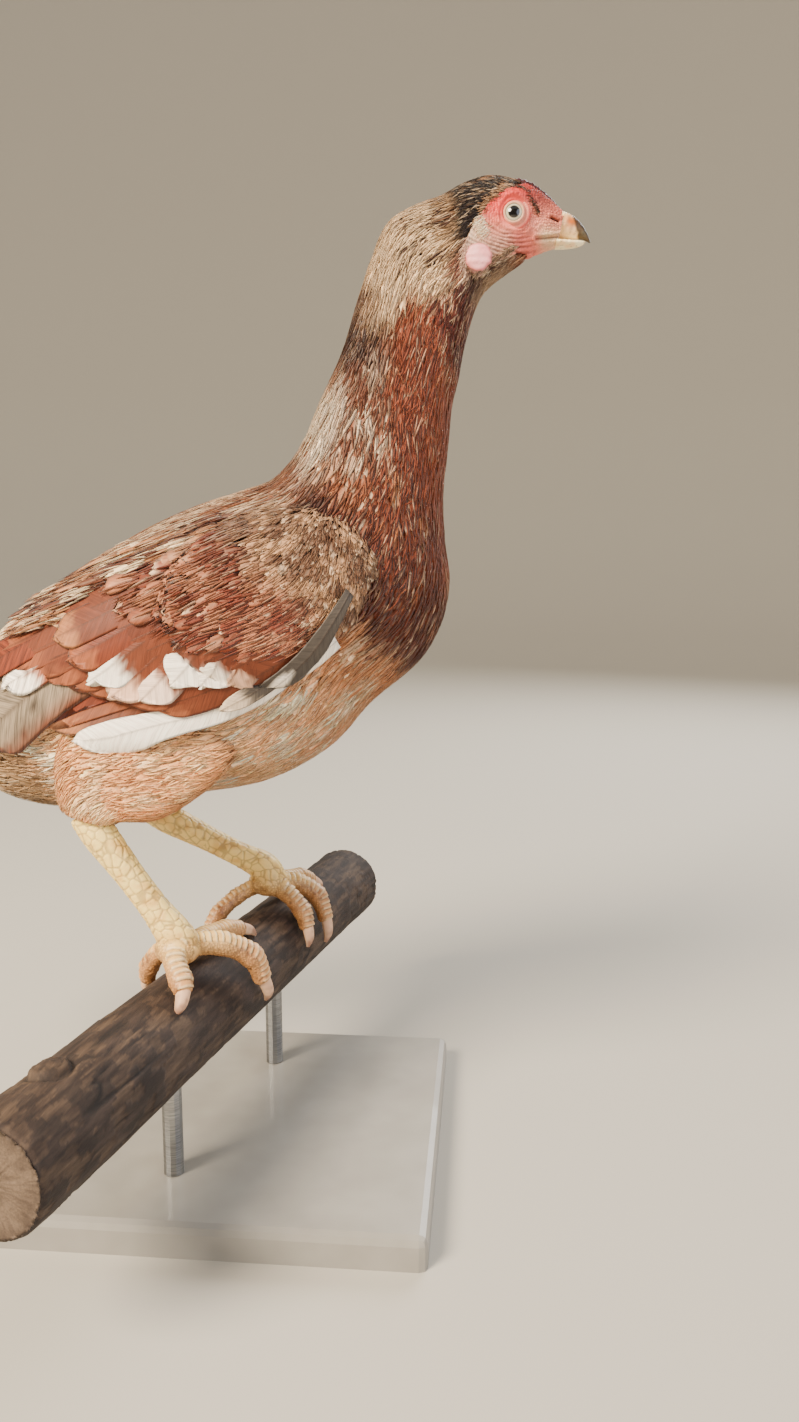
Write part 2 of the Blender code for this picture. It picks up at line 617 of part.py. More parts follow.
def make_comb(head):
    """The low pea comb: three rows of bulbs, fused and seated on the forehead."""
    middle = (COMB_FRONT + COMB_BACK) / 2
    seat = body_point(*forehead_place(middle, 0.0)) / MM
    bulbs = [ellipsoid("comb", seat, COMB_SEAT, "red_skin", 12, 6)]
    tilt_to_crown(bulbs[0])
    for across, radius in COMB_ROWS:
        for i in range(COMB_BULBS):
            f = i / (COMB_BULBS - 1)
            x = COMB_FRONT + (COMB_BACK - COMB_FRONT) * f
            swell = 0.62 + 0.38 * math.sin(math.pi * (0.15 + 0.75 * f))
            s, theta = forehead_place(x, across)
            point = body_point(s, theta, 0.5) / MM
            size = [half * swell for half in (COMB_BULB_LENGTH, radius, radius * 1.05)]
            bulbs.append(ellipsoid("bulb", point, size, "red_skin", 6, 4))
    comb = bulbs[0]
    combine(comb, "UNION", bulbs[1:])
    clear_of(comb, head)
    return comb


def tilt_to_crown(piece):
    """Turn a piece about its middle so that it lies along the slope of the forehead."""
    front, back = (body_point(*forehead_place(x, 0.0)) for x in (COMB_FRONT, COMB_BACK))
    slope = math.atan2(front[2] - back[2], front[0] - back[0])
    turn = Matrix.Rotation(-slope, 4, "Y")
    middle = sum((vert.co for vert in piece.data.vertices), Vector()) / len(piece.data.vertices)
    piece.data.transform(Matrix.Translation(middle) @ turn @ Matrix.Translation(-middle))


def forehead_place(x, across):
    """The station and angle on the crown at x, so far to the side (mm)."""
    s = np.interp(-x, [-row[0] for row in STATIONS[:8]], range(8))
    half = smooth_row(BODY_ROWS, s)[4]
    return s, math.asin(max(min(-across / (half * 1.1), 1.0), -1.0))


def make_foot(side, end):
    """The foot's pad with its toes, and the claws, from the lower end of the shank."""
    pad = ellipsoid("foot_" + side, [a + b for a, b in zip(end, PAD_OFFSET)], PAD_RADII,
                    "yellow_scales", 16, 10)
    toes, claws = [], []
    for name, (*points, bend, tip, thick, thin) in TOES[side].items():
        radii = [thick * part for part in TOE_ROOT_RADII] + [thin * part for part in TOE_END_RADII]
        last, before = np.array(points[-1]), np.array(points[-2])
        toes.append(tube("toe", [*points, last + (last - before) * TOE_OVERRUN], radii,
                         TOE_RINGS, TOE_SIDES, "yellow_scales"))
        claws.append(tube("claw_%s_%s" % (name, side), [points[-1], bend, tip],
                          [thin * part for part in CLAW_RADII] + [CLAW_POINT],
                          CLAW_RINGS, CLAW_SIDES, "pink_claw"))
    combine(pad, "UNION", toes)
    return pad, claws


def make_leg(side, torso, perch):
    """Thigh, shank, foot and claws of one leg, each clear of what it grows from."""
    thigh = loft("thigh_" + side, path_rings(curve_through(THIGHS[side], THIGH_RINGS), THIGH_SIDES),
                 "rufous_plumage")
    clear_of(thigh, torso)
    top, end = (np.array(place, dtype=float) for place in SHANKS[side])
    places = [top + (end - top) * f for f in np.linspace(0, 1, len(SHANK_RADII))]
    shank = tube("shank_" + side, places, SHANK_RADII, SHANK_RINGS, SHANK_SIDES, "yellow_scales")
    pad, claws = make_foot(side, end)
    clear_of(shank, thigh)
    clear_of(pad, perch, shank)
    for claw in claws:
        clear_of(claw, pad, perch)
    return thigh


def perch_point(s, turn, radius):
    """A point round the perch's axis: s along it, turn from the top towards the front."""
    along = np.array((math.sin(PERCH_HEADING), math.cos(PERCH_HEADING), 0.0))
    front = np.array((math.cos(PERCH_HEADING), -math.sin(PERCH_HEADING), 0.0))
    up = np.array((0.0, 0.0, 1.0))
    return (along * s + (front * math.sin(turn) + up * math.cos(turn)) * radius
            + np.array((0.0, 0.0, PERCH_Z)))


def make_perch(chance):
    """The pole: round where the feet grip, a little worn away towards its sawn ends."""
    rows, middle, half = [], (PERCH_FROM + PERCH_TO) / 2, (PERCH_TO - PERCH_FROM) / 2
    for stop in PERCH_STOPS:
        s = middle + half * stop
        inside = FOOT_ZONE[0] < s < FOOT_ZONE[1]
        worn = PERCH_END_WEAR if abs(stop) == 1.0 else 0.0
        rows.append([perch_point(s, turn, PERCH_RADIUS - worn
                                 - (0.0 if inside else chance.uniform(0.0, PERCH_WEAR)))
                     for turn in turns_round(PERCH_SIDES)])
    perch = loft("perch", rows, "grey_bark")
    knot = ellipsoid("knot", perch_point(KNOT_PLACE, KNOT_TURN, PERCH_RADIUS - KNOT_SUNK) / MM,
                     KNOT_SIZE, "grey_bark", 12, 6)
    combine(perch, "UNION", [knot])
    return perch


def make_stand(perch):
    """A flat base and two short rods that hold the perch."""
    def block(shape):
        bmesh.ops.create_cube(shape, size=1.0)
        for vert in shape.verts:
            vert.co = Vector((vert.co.x * BASE_LENGTH, vert.co.y * BASE_WIDTH,
                              (vert.co.z + 0.5) * BASE_THICKNESS))
        raised = [edge for edge in shape.edges
                  if sum(vert.co.z for vert in edge.verts) > BASE_THICKNESS / 2]
        bmesh.ops.bevel(shape, geom=raised, offset=BASE_BEVEL, segments=2,
                        affect="EDGES", profile=0.5)
    mesh_object("stand_base", block, "painted_base")
    for name, s in (("near", -ROD_SPACING / 2), ("far", ROD_SPACING / 2)):
        x, y = s * math.sin(PERCH_HEADING), s * math.cos(PERCH_HEADING)
        rings = [[(x + ROD_DIAMETER / 2 * math.cos(turn), y + ROD_DIAMETER / 2 * math.sin(turn), z)
                  for turn in turns_round(ROD_SIDES)]
                 for z in (BASE_THICKNESS + GAP, PERCH_Z - PERCH_RADIUS + ROD_SUNK)]
        rod = loft("stand_rod_" + name, rings, "steel_rod")
        clear_of(rod, perch)


def make_beak(head):
    """Upper and lower beak, each a loft of its own from the head's front cut."""
    for name, rows in (("beak_upper", UPPER_BEAK), ("beak_lower", LOWER_BEAK)):
        rings = []
        for xt, zt, xb, zb, half in rows:
            ring = []
            for turn in turns_round(BEAK_SIDES):
                f = (1 + math.cos(turn)) / 2
                ring.append(((xb + (xt - xb) * f) * MM, half * math.sin(turn) * MM,
                             (zb + (zt - zb) * f) * MM))
            rings.append(ring)
        clear_of(loft(name, rings, "horn_beak"), head)


def make_hen():
    chance = random.Random(SEED)
    head = make_head()
    neck = body_length("neck", NECK_CUT, SHOULDER_CUT, NECK_RINGS, BODY_SIDES, "mottled_hackle")
    torso = body_length("torso", SHOULDER_CUT, TAIL_CUT, TORSO_RINGS, BODY_SIDES, "rufous_plumage")
    make_tail()
    make_beak(head)
    make_comb(head)
    perch = make_perch(chance)
    make_stand(perch)
    for side, hand in (("right", -1), ("left", 1)):
        x, y, z = EYE_CENTRE
        ellipsoid("eye_" + side, (x, hand * y, z), [EYE_RADIUS] * 3, "glossy_eye", 12, 8)
        x, y, z = LOBE_CENTRE
        lobe = ellipsoid("earlobe_" + side, (x, hand * y, z), LOBE_SIZE, "pale_lobe", 12, 8)
        clear_of(lobe, head, neck)
        thigh = make_leg(side, torso, perch)
        make_wing(side, torso, thigh, chance)


MODEL = clear_scene()
MATERIALS = make_finishes()
make_hen()
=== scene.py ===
# %% [markdown]
# # An Aseel hen, feather by feather
# The Aseel is a tall, hard-feathered breed from South Asia. This one is a young rufous hen,
# mottled with cream, who stands on a cut length of pole. The solids of the model give her
# outline; this lesson dresses them with one skin, feathers and tufts, and finishes. There are
# about 43,000 feathers and tufts, and each cell that grows some prints their number.
# All tables are in millimetres, in the model's own frame: +X is the way she faces, +Y her left.

# %% Load the frame
import math

import bmesh
import bpy
import numpy as np
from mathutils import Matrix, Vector
from mathutils.kdtree import KDTree


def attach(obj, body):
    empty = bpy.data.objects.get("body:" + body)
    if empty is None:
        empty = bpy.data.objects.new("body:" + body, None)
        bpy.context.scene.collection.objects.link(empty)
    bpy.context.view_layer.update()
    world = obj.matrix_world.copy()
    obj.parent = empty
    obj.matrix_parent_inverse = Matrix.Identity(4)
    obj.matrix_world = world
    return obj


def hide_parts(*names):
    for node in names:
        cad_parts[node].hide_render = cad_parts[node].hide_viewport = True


MM = 0.001
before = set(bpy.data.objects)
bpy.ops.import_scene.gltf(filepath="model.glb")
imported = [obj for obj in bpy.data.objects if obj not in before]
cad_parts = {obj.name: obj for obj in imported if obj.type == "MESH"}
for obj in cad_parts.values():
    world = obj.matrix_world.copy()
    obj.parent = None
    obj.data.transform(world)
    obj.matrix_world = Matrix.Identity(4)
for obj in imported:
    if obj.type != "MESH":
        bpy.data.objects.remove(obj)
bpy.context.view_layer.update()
chance = np.random.default_rng(11)

# %% [markdown]
# Every finish below is a small node tree. One helper adds a node, sets its properties, and
# fills its inputs with numbers or with other nodes' outputs. Colours are written the way a
# paint chart gives them, as sRGB hex values, and one function turns them to linear light.

# %% Helpers for colours, nodes and objects
DEEPER = 1.45       # feathers hold their colour in depth, so every tone is a little deeper


def tone(hex_colour):
    """Linear red, green and blue of an sRGB hex colour, mixed a little deeper than the chart."""
    channels = [int(hex_colour[i:i + 2], 16) / 255.0 for i in (1, 3, 5)]
    return np.array([c / 12.92 if c <= 0.04045 else ((c + 0.055) / 1.055) ** 2.4
                     for c in channels]) ** DEEPER


def add_node(tree, kind, values=None, stops=None, **settings):
    """A node with its settings; values fills inputs, by name or number, with sockets or data."""
    made = tree.nodes.new(kind)
    for key, value in settings.items():
        setattr(made, key, value)
    for socket, value in (values or {}).items():
        if isinstance(value, bpy.types.NodeSocket):
            tree.links.new(value, made.inputs[socket])
        else:
            made.inputs[socket].default_value = value
    for i, (place, colour) in enumerate(stops or ()):
        stop = made.color_ramp.elements[i] if i < 2 else made.color_ramp.elements.new(place)
        stop.position, stop.color = place, (*tone(colour), 1.0)
    return made


def object_space(tree, **mapping):
    """The object's own coordinates, turned or stretched by a mapping's inputs if there are any."""
    where = add_node(tree, "ShaderNodeTexCoord").outputs["Object"]
    if not mapping:
        return where
    return add_node(tree, "ShaderNodeMapping", {"Vector": where, **mapping}).outputs["Vector"]


def new_material(name, **constants):
    """A material with its Principled shader's constants set, and its node tree."""
    material = bpy.data.materials.new(name)
    material.use_nodes = True
    shader = material.node_tree.nodes["Principled BSDF"]
    for socket, value in constants.items():
        shader.inputs[socket.replace("_", " ")].default_value = value
    return material, material.node_tree, shader


def add_bump(tree, shader, height, depth_mm, strength):
    """Bump of a real depth from a height pattern that runs from 0 to 1."""
    bump = add_node(tree, "ShaderNodeBump", {"Height": height, "Distance": depth_mm * MM,
                                             "Strength": strength})
    tree.links.new(bump.outputs["Normal"], shader.inputs["Normal"])


def new_object(name, data):
    """An object at the origin, linked to the scene."""
    made = bpy.data.objects.new(name, data)
    bpy.context.scene.collection.objects.link(made)
    return made


print("a mid grey in linear light:", tone("#808080").round(3))

# %% [markdown]
# The camera stands where the photographer stood: about half a metre from the hen's side, at
# the height of her shoulder, looking 8 degrees down and 5 degrees round towards her tail. It
# comes first, so that every later piece can be judged through it.

# %% Camera
CAMERA_PLACE = (139.0, -518.0, 314.8)
CAMERA_TURN = (81.7, 0.0, 5.0)
LENS, SENSOR = 26.08, 36.0

camera_data = bpy.data.cameras.new("camera")
camera_data.lens, camera_data.sensor_width = LENS, SENSOR
camera_data.clip_start = 0.01
camera = new_object("camera", camera_data)
camera.location = Vector(CAMERA_PLACE) * MM
camera.rotation_euler = [math.radians(turn) for turn in CAMERA_TURN]
bpy.context.scene.camera = camera
print("camera at", CAMERA_PLACE, "mm")

# %% [markdown]
# A soft key light hangs up and to the left, a wide fill stands at the right, and a weak lamp
# behind lights the edge of the neck. The floor is one large pale bowl, whose rim rises out of
# sight, so that there is no horizon; a flat plane would show one.

# %% Studio
# name: place in millimetres, size in metres, power in watts, colour
LAMPS = (
    ("key", (-1000, -1400, 1500), 0.9, 150.0, "#FFF4E4"),
    ("fill", (1500, -1100, 700), 1.8, 24.0, "#E8EFFF"),
    ("rim", (700, 1500, 1300), 1.2, 40.0, "#FFFFFF"),
)
AIM = Vector((0.02, 0.0, 0.28))
SKY, SKY_STRENGTH, FLOOR_TONE = "#DDDAD4", 1.25, "#C9C4BA"
# The floor's outline from its middle outward: radius and height in metres
FLOOR_OUTLINE = ((2.6, 0.0), (3.1, 0.06), (3.5, 0.24), (3.8, 0.55), (3.95, 1.0), (4.0, 1.7),
                 (4.0, 3.4))
FLOOR_SIDES = 128


def turns(count):
    """That many even steps round a circle, in radians."""
    return np.arange(count) * 2 * math.pi / count


for name, place, size, power, colour in LAMPS:
    lamp = bpy.data.lights.new(name, "AREA")
    lamp.shape, lamp.size, lamp.energy = "DISK", size, power
    lamp.color = tone(colour)
    holder = new_object(name, lamp)
    holder.location = Vector(place) * MM
    holder.rotation_euler = (AIM - holder.location).to_track_quat("-Z", "Y").to_euler()

world = bpy.data.worlds.new("studio")
world.use_nodes = True
world.node_tree.nodes["Background"].inputs["Color"].default_value = (*tone(SKY), 1.0)
world.node_tree.nodes["Background"].inputs["Strength"].default_value = SKY_STRENGTH
bpy.context.scene.world = world

bowl = bmesh.new()
circles = [[bowl.verts.new((radius * math.cos(turn), radius * math.sin(turn), height))
            for turn in turns(FLOOR_SIDES)] for radius, height in FLOOR_OUTLINE]
bowl.faces.new(circles[0])
for near, far in zip(circles, circles[1:]):
    for i in range(FLOOR_SIDES):
        j = (i + 1) % FLOOR_SIDES
        bowl.faces.new((near[i], far[i], far[j], near[j]))
floor_mesh = bpy.data.meshes.new("floor")
bowl.to_mesh(floor_mesh)
bowl.free()
floor_mesh.shade_smooth()
floor = new_object("floor", floor_mesh)
floor_paint, _, floor_shader = new_material("matt_floor_paint", Roughness=0.85)
floor_shader.inputs["Base Color"].default_value = (*tone(FLOOR_TONE), 1.0)
floor_mesh.materials.append(floor_paint)
print("lamps:", len(LAMPS))

# %% [markdown]
# The hen's body is one loft: flat sections from the beak's root to the rump, each with an upper
# and a lower point, a half width, and how far up its widest line lies. It could be sculpted, but
# then no feather would know its place. On a loft, a station and an angle name every spot, and a
# Catmull-Rom curve eases the sections into each other. The solids use the same sections.

# %% The body as a loft
# (x, z) of the upper line, (x, z) of the lower line, half width, shift of the widest line up
STATIONS = np.array((
    (171.2, 476.2, 168.2, 461.2, 7.6, 0.10),        # beak's root
    (163.6, 482.6, 160.6, 459.0, 11.2, 0.12),
    (156.3, 487.6, 153.5, 456.2, 14.4, 0.15),
    (148.0, 490.6, 145.6, 451.3, 16.8, 0.15),       # eye
    (136.5, 492.8, 137.4, 445.6, 18.2, 0.10),
    (124.8, 490.0, 132.0, 439.6, 18.8, 0.05),       # ear
    (113.0, 484.5, 127.7, 429.3, 19.6, 0.0),        # nape
    (99.7, 480.0, 124.0, 415.5, 21.5, 0.0),
    (88.2, 472.5, 121.7, 402.5, 24.0, 0.0),
    (80.2, 455.5, 118.6, 389.0, 26.0, 0.0),
    (73.2, 435.0, 116.6, 368.0, 28.0, 0.0),         # middle of the neck
    (66.4, 414.1, 114.6, 346.9, 31.5, 0.0),
    (56.0, 392.1, 115.6, 324.0, 38.5, 0.0),
    (45.6, 369.7, 118.0, 305.3, 47.0, 0.0),         # shoulders
    (32.8, 354.9, 114.6, 285.4, 54.5, 0.05),
    (15.5, 348.4, 103.1, 265.1, 59.0, 0.10),
    (-2.1, 343.0, 79.1, 244.4, 61.0, 0.14),         # breast
    (-23.0, 334.8, 57.7, 221.0, 61.5, 0.16),
    (-44.2, 324.1, 26.0, 203.5, 60.0, 0.15),
    (-65.8, 311.7, -8.8, 196.5, 56.5, 0.10),
    (-87.7, 298.0, -54.9, 188.5, 51.0, 0.0),        # vent
    (-105.0, 284.8, -88.4, 188.5, 43.0, -0.05),
    (-120.5, 268.5, -113.9, 195.0, 32.5, -0.05),
    (-137.0, 250.5, -131.7, 209.5, 22.0, 0.0),      # tail's root
    (-148.0, 237.0, -144.0, 219.0, 12.0, 0.0),
    (-153.0, 230.0, -151.0, 224.0, 4.0, 0.0),       # rump's end
))
LAST = len(STATIONS) - 1.0


def joined(*columns):
    """Columns as the last axis of one array, each spread to the shape of all."""
    return np.stack(np.broadcast_arrays(*columns), axis=-1)


def eased(rows, t):
    """Rows of a table at places t (any shape), eased by a Catmull-Rom curve."""
    t = np.clip(t, 0.0, len(rows) - 1.0)
    i = np.clip(np.floor(t).astype(int), 0, len(rows) - 2)
    f = (t - i)[..., None]
    before, start, end, after = (rows[np.clip(i + k, 0, len(rows) - 1)] for k in (-1, 0, 1, 2))
    return 0.5 * (2 * start + (end - before) * f
                  + (2 * before - 5 * start + 4 * end - after) * f ** 2
                  + (3 * start - before - 3 * end + after) * f ** 3)


def body(s, theta):
    """Points of the body at stations s; theta turns from the upper line down the right side."""
    row = eased(STATIONS, s)
    middle, reach = (row[..., 0:2] + row[..., 2:4]) / 2, (row[..., 0:2] - row[..., 2:4]) / 2
    bend = np.cos(theta)
    across = -row[..., 4] * np.sin(theta) * (1 + row[..., 5] * bend)
    return joined(middle[..., 0] + reach[..., 0] * bend, across,
                  middle[..., 1] + reach[..., 1] * bend)


def unit(vectors):
    return vectors / np.maximum(np.linalg.norm(vectors, axis=-1, keepdims=True), 1e-9)


def slopes(surface, p, q):
    """How a surface's point moves for each unit of p and of q, and its outward normal."""
    step = 0.01
    along = (surface(p + step, q) - surface(p - step, q)) / (2 * step)
    around = (surface(p, q + step) - surface(p, q - step)) / (2 * step)
    return along, around, unit(np.cross(along, around))


print("body length along the back in mm:", round(float(np.linalg.norm(np.diff(
    body(np.linspace(0, LAST, 200), np.zeros(200)), axis=0), axis=1).sum())))

# %% [markdown]
# Nothing on a bird is even, so most forms and tones below are varied by noise. Blender's noise
# textures only reach a material. These two functions work on points instead, so that the same
# lump can shape a mesh and tint it: one gives soft lumps, the other rounded scales.

# %% Easing and noise
HASH_TURNS = np.array(((127.1, 269.5, 419.2), (311.7, 183.3, 371.9), (74.7, 246.1, 668.2)))
HASH_SCALE = 43758.5453


def ease(x, low, high):
    """0 below low, 1 above high, and smooth between."""
    t = np.clip((np.asarray(x, dtype=float) - low) / (high - low), 0.0, 1.0)
    return t * t * (3 - 2 * t)


def bell(distance, width):
    return np.exp(-(distance / width) ** 2)


def window(value, low, high, soft):
    """1 between low and high, 0 outside, and smooth over both edges."""
    half = soft / 2
    return ease(value, low - half, low + half) * (1 - ease(value, high - half, high + half))


def mixed(a, b, share):
    """Two tones, each a hex value or an array, mixed by the share of the second."""
    a, b = (tone(colour) if isinstance(colour, str) else colour for colour in (a, b))
    share = np.asarray(share)[..., None]
    return a * (1 - share) + b * share


def mottle(points, size, seed=0):
    """Smooth noise from -1 to 1 in lumps of that size, fixed by its seed."""
    p = points / size + seed * 17.31
    cell = np.floor(p)
    f = p - cell
    f = f * f * (3 - 2 * f)
    total = 0.0
    for corner in range(8):
        bits = np.array([(corner >> k) & 1 for k in range(3)])
        weight = np.prod(np.where(bits, f, 1 - f), axis=-1)
        wave = np.sin((cell + bits) @ HASH_TURNS[:, 0] + seed) * HASH_SCALE
        total = total + weight * (wave - np.floor(wave))
    return 2 * total - 1


def pebbles(points, size, seed=0, groove=0.45):
    """Rounded scales scattered in space: 0 in the grooves between them, 1 on their middles."""
    p = points / size + seed * 7.7
    cell = np.floor(p)
    first, second = np.full(p.shape[:-1], 9.0), np.full(p.shape[:-1], 9.0)
    for corner in range(27):
        at = cell + np.array((corner % 3 - 1, corner // 3 % 3 - 1, corner // 9 - 1))
        wave = np.sin(at @ HASH_TURNS) * HASH_SCALE
        far = np.linalg.norm(at + 0.15 + 0.7 * (wave - np.floor(wave)) - p, axis=-1)
        second = np.minimum(second, np.maximum(first, far))
        first = np.minimum(first, far)
    return ease(second - first, 0.02, groove)


print("noise at the origin:", round(float(mottle(np.zeros(3), 1.0)), 3))

# %% [markdown]
# The markings are painted once, by place on the body, and both the skin and the feathers use
# them. Each zone has a main tone, the tone of its flecks, and the share of flecks; it is a soft
# window in stations and in height, where 1 is the back line and 0 the belly line. Later zones
# lie over earlier ones, like glazes. An image could say the same, but only from one side.

# %% Markings of the plumage
# name: first and last station, lowest and highest height, rise of the lowest height for each
# station, main tone, fleck tone, share of flecks
ZONES = (
    ("body", -1, 30, -1, 2, 0, "#A26C4B", "#CB9C78", 0.30),
    ("crown", -1, 6.2, 0.30, 2, 0, "#38211A", "#B8926E", 0.20),
    ("throat", 2.5, 6.2, -1, 0.36, 0, "#6B4030", "#F6DFC2", 0.46),
    ("throat_edge", 2.5, 6.6, -1, 0.03, 0, "#E0C3A2", "#7E543E", 0.34),
    ("neck_front", 6.6, 12.5, -1, 0.50, 0, "#AE6B49", "#D8AA88", 0.30),
    ("under_lobe", 5.3, 7.6, -1, 0.46, 0, "#84452F", "#D2A78A", 0.32),
    ("nape_top", 5.5, 8.0, 0.44, 2, 0, "#CBAA86", "#68432F", 0.42),
    ("nape", 6.0, 9.35, 0.27, 2, 0.12, "#E4CAA8", "#5F3A28", 0.34),
    ("grey_band", 9.35, 10.6, 0.56, 2, 0, "#66483B", "#A58A79", 0.40),
    ("neck_core", 8.0, 11.2, 0.14, 0.58, 0, "#98593A", "#CBA07C", 0.20),
    ("neck_streaks", 10.2, 12.0, 0.44, 0.80, 0, "#95654B", "#E6D0B6", 0.42),
    ("neck_low", 11.0, 13.4, 0.04, 0.46, 0, "#8C5031", "#BC885F", 0.24),
    ("pale_patch", 11.1, 12.9, 0.79, 2, 0, "#EEDCC4", "#9E6E50", 0.28),
    ("chest", 12.9, 15.6, -1, 0.66, 0, "#7E472C", "#A8704B", 0.24),
    ("shoulder_notch", 12.9, 13.9, 0.62, 0.78, 0, "#653F2F", "#96694E", 0.24),
    # The pale breast and belly are partly the hen's own buff and partly painted light: set paler so
    # that the underside, in shade from the lamps above, looks well lit
    ("breast", 15.0, 17.6, -1, 0.50, 0, "#F6C69E", "#FFECD2", 0.42),
    ("chest_edge", 15.1, 15.7, -1, 0.56, 0, "#DDA273", "#F6D8B6", 0.40),
    ("belly", 17.2, 20.4, -1, 0.52, 0, "#FAD2AA", "#FFF4E0", 0.42),
    ("vent", 20.2, 30, -1, 0.45, 0, "#B39673", "#DCC7A8", 0.42),
    ("back", 13.4, 21.0, 0.82, 2, 0, "#A9795A", "#E3CAAC", 0.50),
    ("rump", 20.4, 30, 0.45, 2, 0, "#A66B48", "#DDBD99", 0.40),
)
STATION_SOFTNESS, HEIGHT_SOFTNESS = 0.9, 0.14
# Flecks on the head and on the body: sizes of their two kinds of lumps, and weight of the second
HEAD_FLECKS, BODY_FLECKS = (3.2, 1.3, 0.6), (10.0, 4.5, 0.5)
FLECKS_CHANGE = (6.0, 9.5)          # stations between which the one turns into the other


def fleck_lumps(points, large, small, weight):
    return mottle(points, large, 1) * 0.6 + mottle(points, small, 2) * weight


def markings(s, theta, points):
    """Main tone of the plumage at each place, with its flecks."""
    height = (1 + np.cos(theta)) / 2
    colour = np.zeros((*np.shape(s), 3))
    change = ease(s, *FLECKS_CHANGE)
    lumps = (fleck_lumps(points, *HEAD_FLECKS) * (1 - change)
             + fleck_lumps(points, *BODY_FLECKS) * change)
    for _, first, last, low, high, rise, main, fleck, share in ZONES:
        up = height - rise * np.maximum(s - first, 0)
        weight = (window(s + 0.35 * mottle(points, 16.0, 3), first, last, STATION_SOFTNESS)
                  * window(up, low, high, HEIGHT_SOFTNESS))
        flecked = ease(lumps, 0.55 - 1.3 * share, 0.95 - 1.3 * share)
        colour = mixed(colour, mixed(main, fleck, flecked), weight)
    return colour


print("zones of plumage:", len(ZONES))

# %% [markdown]
# Bare skin covers the face: the red skin round the eye, the cheek with its fine wrinkles, and
# the gape. Elsewhere the skin lies under the coat, inside the solids by the coat's depth: about
# a millimetre on the crown, four on the neck and six on the belly.

# %% Where the skin is bare, and how deep the coat is
EYE = np.array((147.6, 10.4, 472.4))
EYE_RADIUS, LID_OPENING = 7.4, 3.9
# The rear edge of the bare face as x at each height, and the feathered strip under the throat
FACE_EDGE_Z = (440, 443, 446, 451, 458, 465, 471, 478, 483, 488, 492)
FACE_EDGE_X = (151, 140, 130.5, 124.5, 124.5, 128, 132, 136.5, 145, 152.7, 158)
THROAT_X, THROAT_Z = (132.0, 137.4, 145.6, 153.5, 160.6), (439.6, 445.6, 451.3, 456.2, 459.0)
THROAT_STRIP_X, THROAT_STRIP = (128, 140, 150, 157), (6.5, 4.6, 3.0, -1.0)
DEPTH_PLACES = (0, 5, 7, 9, 13, 16, 20, 23, LAST)
DEPTHS = (1.0, 1.5, 2.8, 3.8, 4.6, 5.6, 6.5, 5.0, 2.0)


def bareness(points):
    """1 on the bare face, 0 under feathers."""
    x, z = points[..., 0], points[..., 2]
    behind = x - np.interp(z, FACE_EDGE_Z, FACE_EDGE_X)
    above = z - np.interp(x, THROAT_X, THROAT_Z) - np.interp(x, THROAT_STRIP_X, THROAT_STRIP)
    return ease(behind, -0.7, 0.7) * ease(above, -0.6, 0.6)


def coat_depth(s, points):
    return np.interp(s, DEPTH_PLACES, DEPTHS) * (1 - bareness(points)) + 0.05


def eye_reach(points):
    """Distance in side view from the eye's middle."""
    return np.hypot(points[..., 0] - EYE[0], points[..., 2] - EYE[2])


def near_line(x, z, start, end):
    """Distance in side view from the line between two (x, z) places."""
    run = np.array(end, dtype=float) - start
    t = np.clip(((x - start[0]) * run[0] + (z - start[1]) * run[1]) / (run @ run), 0, 1)
    return np.hypot(x - start[0] - run[0] * t, z - start[1] - run[1] * t)


print("coat in mm:", min(DEPTHS), "to", max(DEPTHS))

# %% [markdown]
# The head gets the most care. Its relief could be sculpted by hand, but a sum of simple forms,
# each at its place round the eye, can be measured and moved: the brow, folds round the lids, the
# hollow before the eye, wrinkles that sweep from behind the eye down to the gape, pebbles of red
# skin, the mouth and the nostril.

# %% Relief of the face
WRINKLE_SPACING, WRINKLE_DEPTH = 1.5, 0.55
GAPE, MOUTH_FRONT = (158.4, 463.0), (171.5, 464.9)
NOSTRIL_BACK, NOSTRIL_FRONT = (165.0, 471.6), (168.4, 470.6)
# Brow, hollow before the eye and cheek: height, place from the eye in x and z, reach in x and z
FACE_FORMS = ((1.9, -1.0, 8.4, 9.5, 2.4), (-1.0, 9.5, -1.0, 3.6, 4.0), (0.9, -3.0, -12.5, 8.0, 4.5))
# Folds all round the lids, and folds below them only: height, distance from the eye, width
ROUND_FOLDS, LOW_FOLDS = ((0.45, 7.3, 0.9), (-0.35, 6.1, 0.6)), ((0.30, 9.2, 0.8), (-0.28, 8.3, 0.5))
PEBBLE_SIZE, PEBBLE_RISE, ROUGHNESS_RISE = 1.15, 0.50, 0.16
ROUGH_FROM = (6.4, 8.0)             # the lids are smooth, and the skin beyond this is rough


def wrinkles(points):
    """Grooves (1) and the skin between them (0), in arcs below and behind the eye."""
    x, z = points[..., 0] - EYE[0], points[..., 2] - EYE[2]
    reach = np.hypot(x * 0.62, z) + 0.55 * mottle(points, 3.6, 4)
    turn = np.degrees(np.arctan2(-z, -x))
    where = window(reach, 7.6, 19.0, 2.0) * window(turn, -8.0, 128.0, 26.0)
    wave = 0.5 + 0.5 * np.cos(2 * math.pi * reach / WRINKLE_SPACING)
    return where * wave ** 2 * (0.75 + 0.25 * mottle(points, 3.0, 5))


def red_pebbles(points):
    """Small round bumps of the red skin above and behind the eye, from 0 to 1."""
    low = ease(points[..., 2] - EYE[2], -9.0, -3.0)
    rough = ease(eye_reach(points), *ROUGH_FROM)
    return pebbles(points, PEBBLE_SIZE, 6, 0.5) * rough * (0.35 + 0.65 * low)


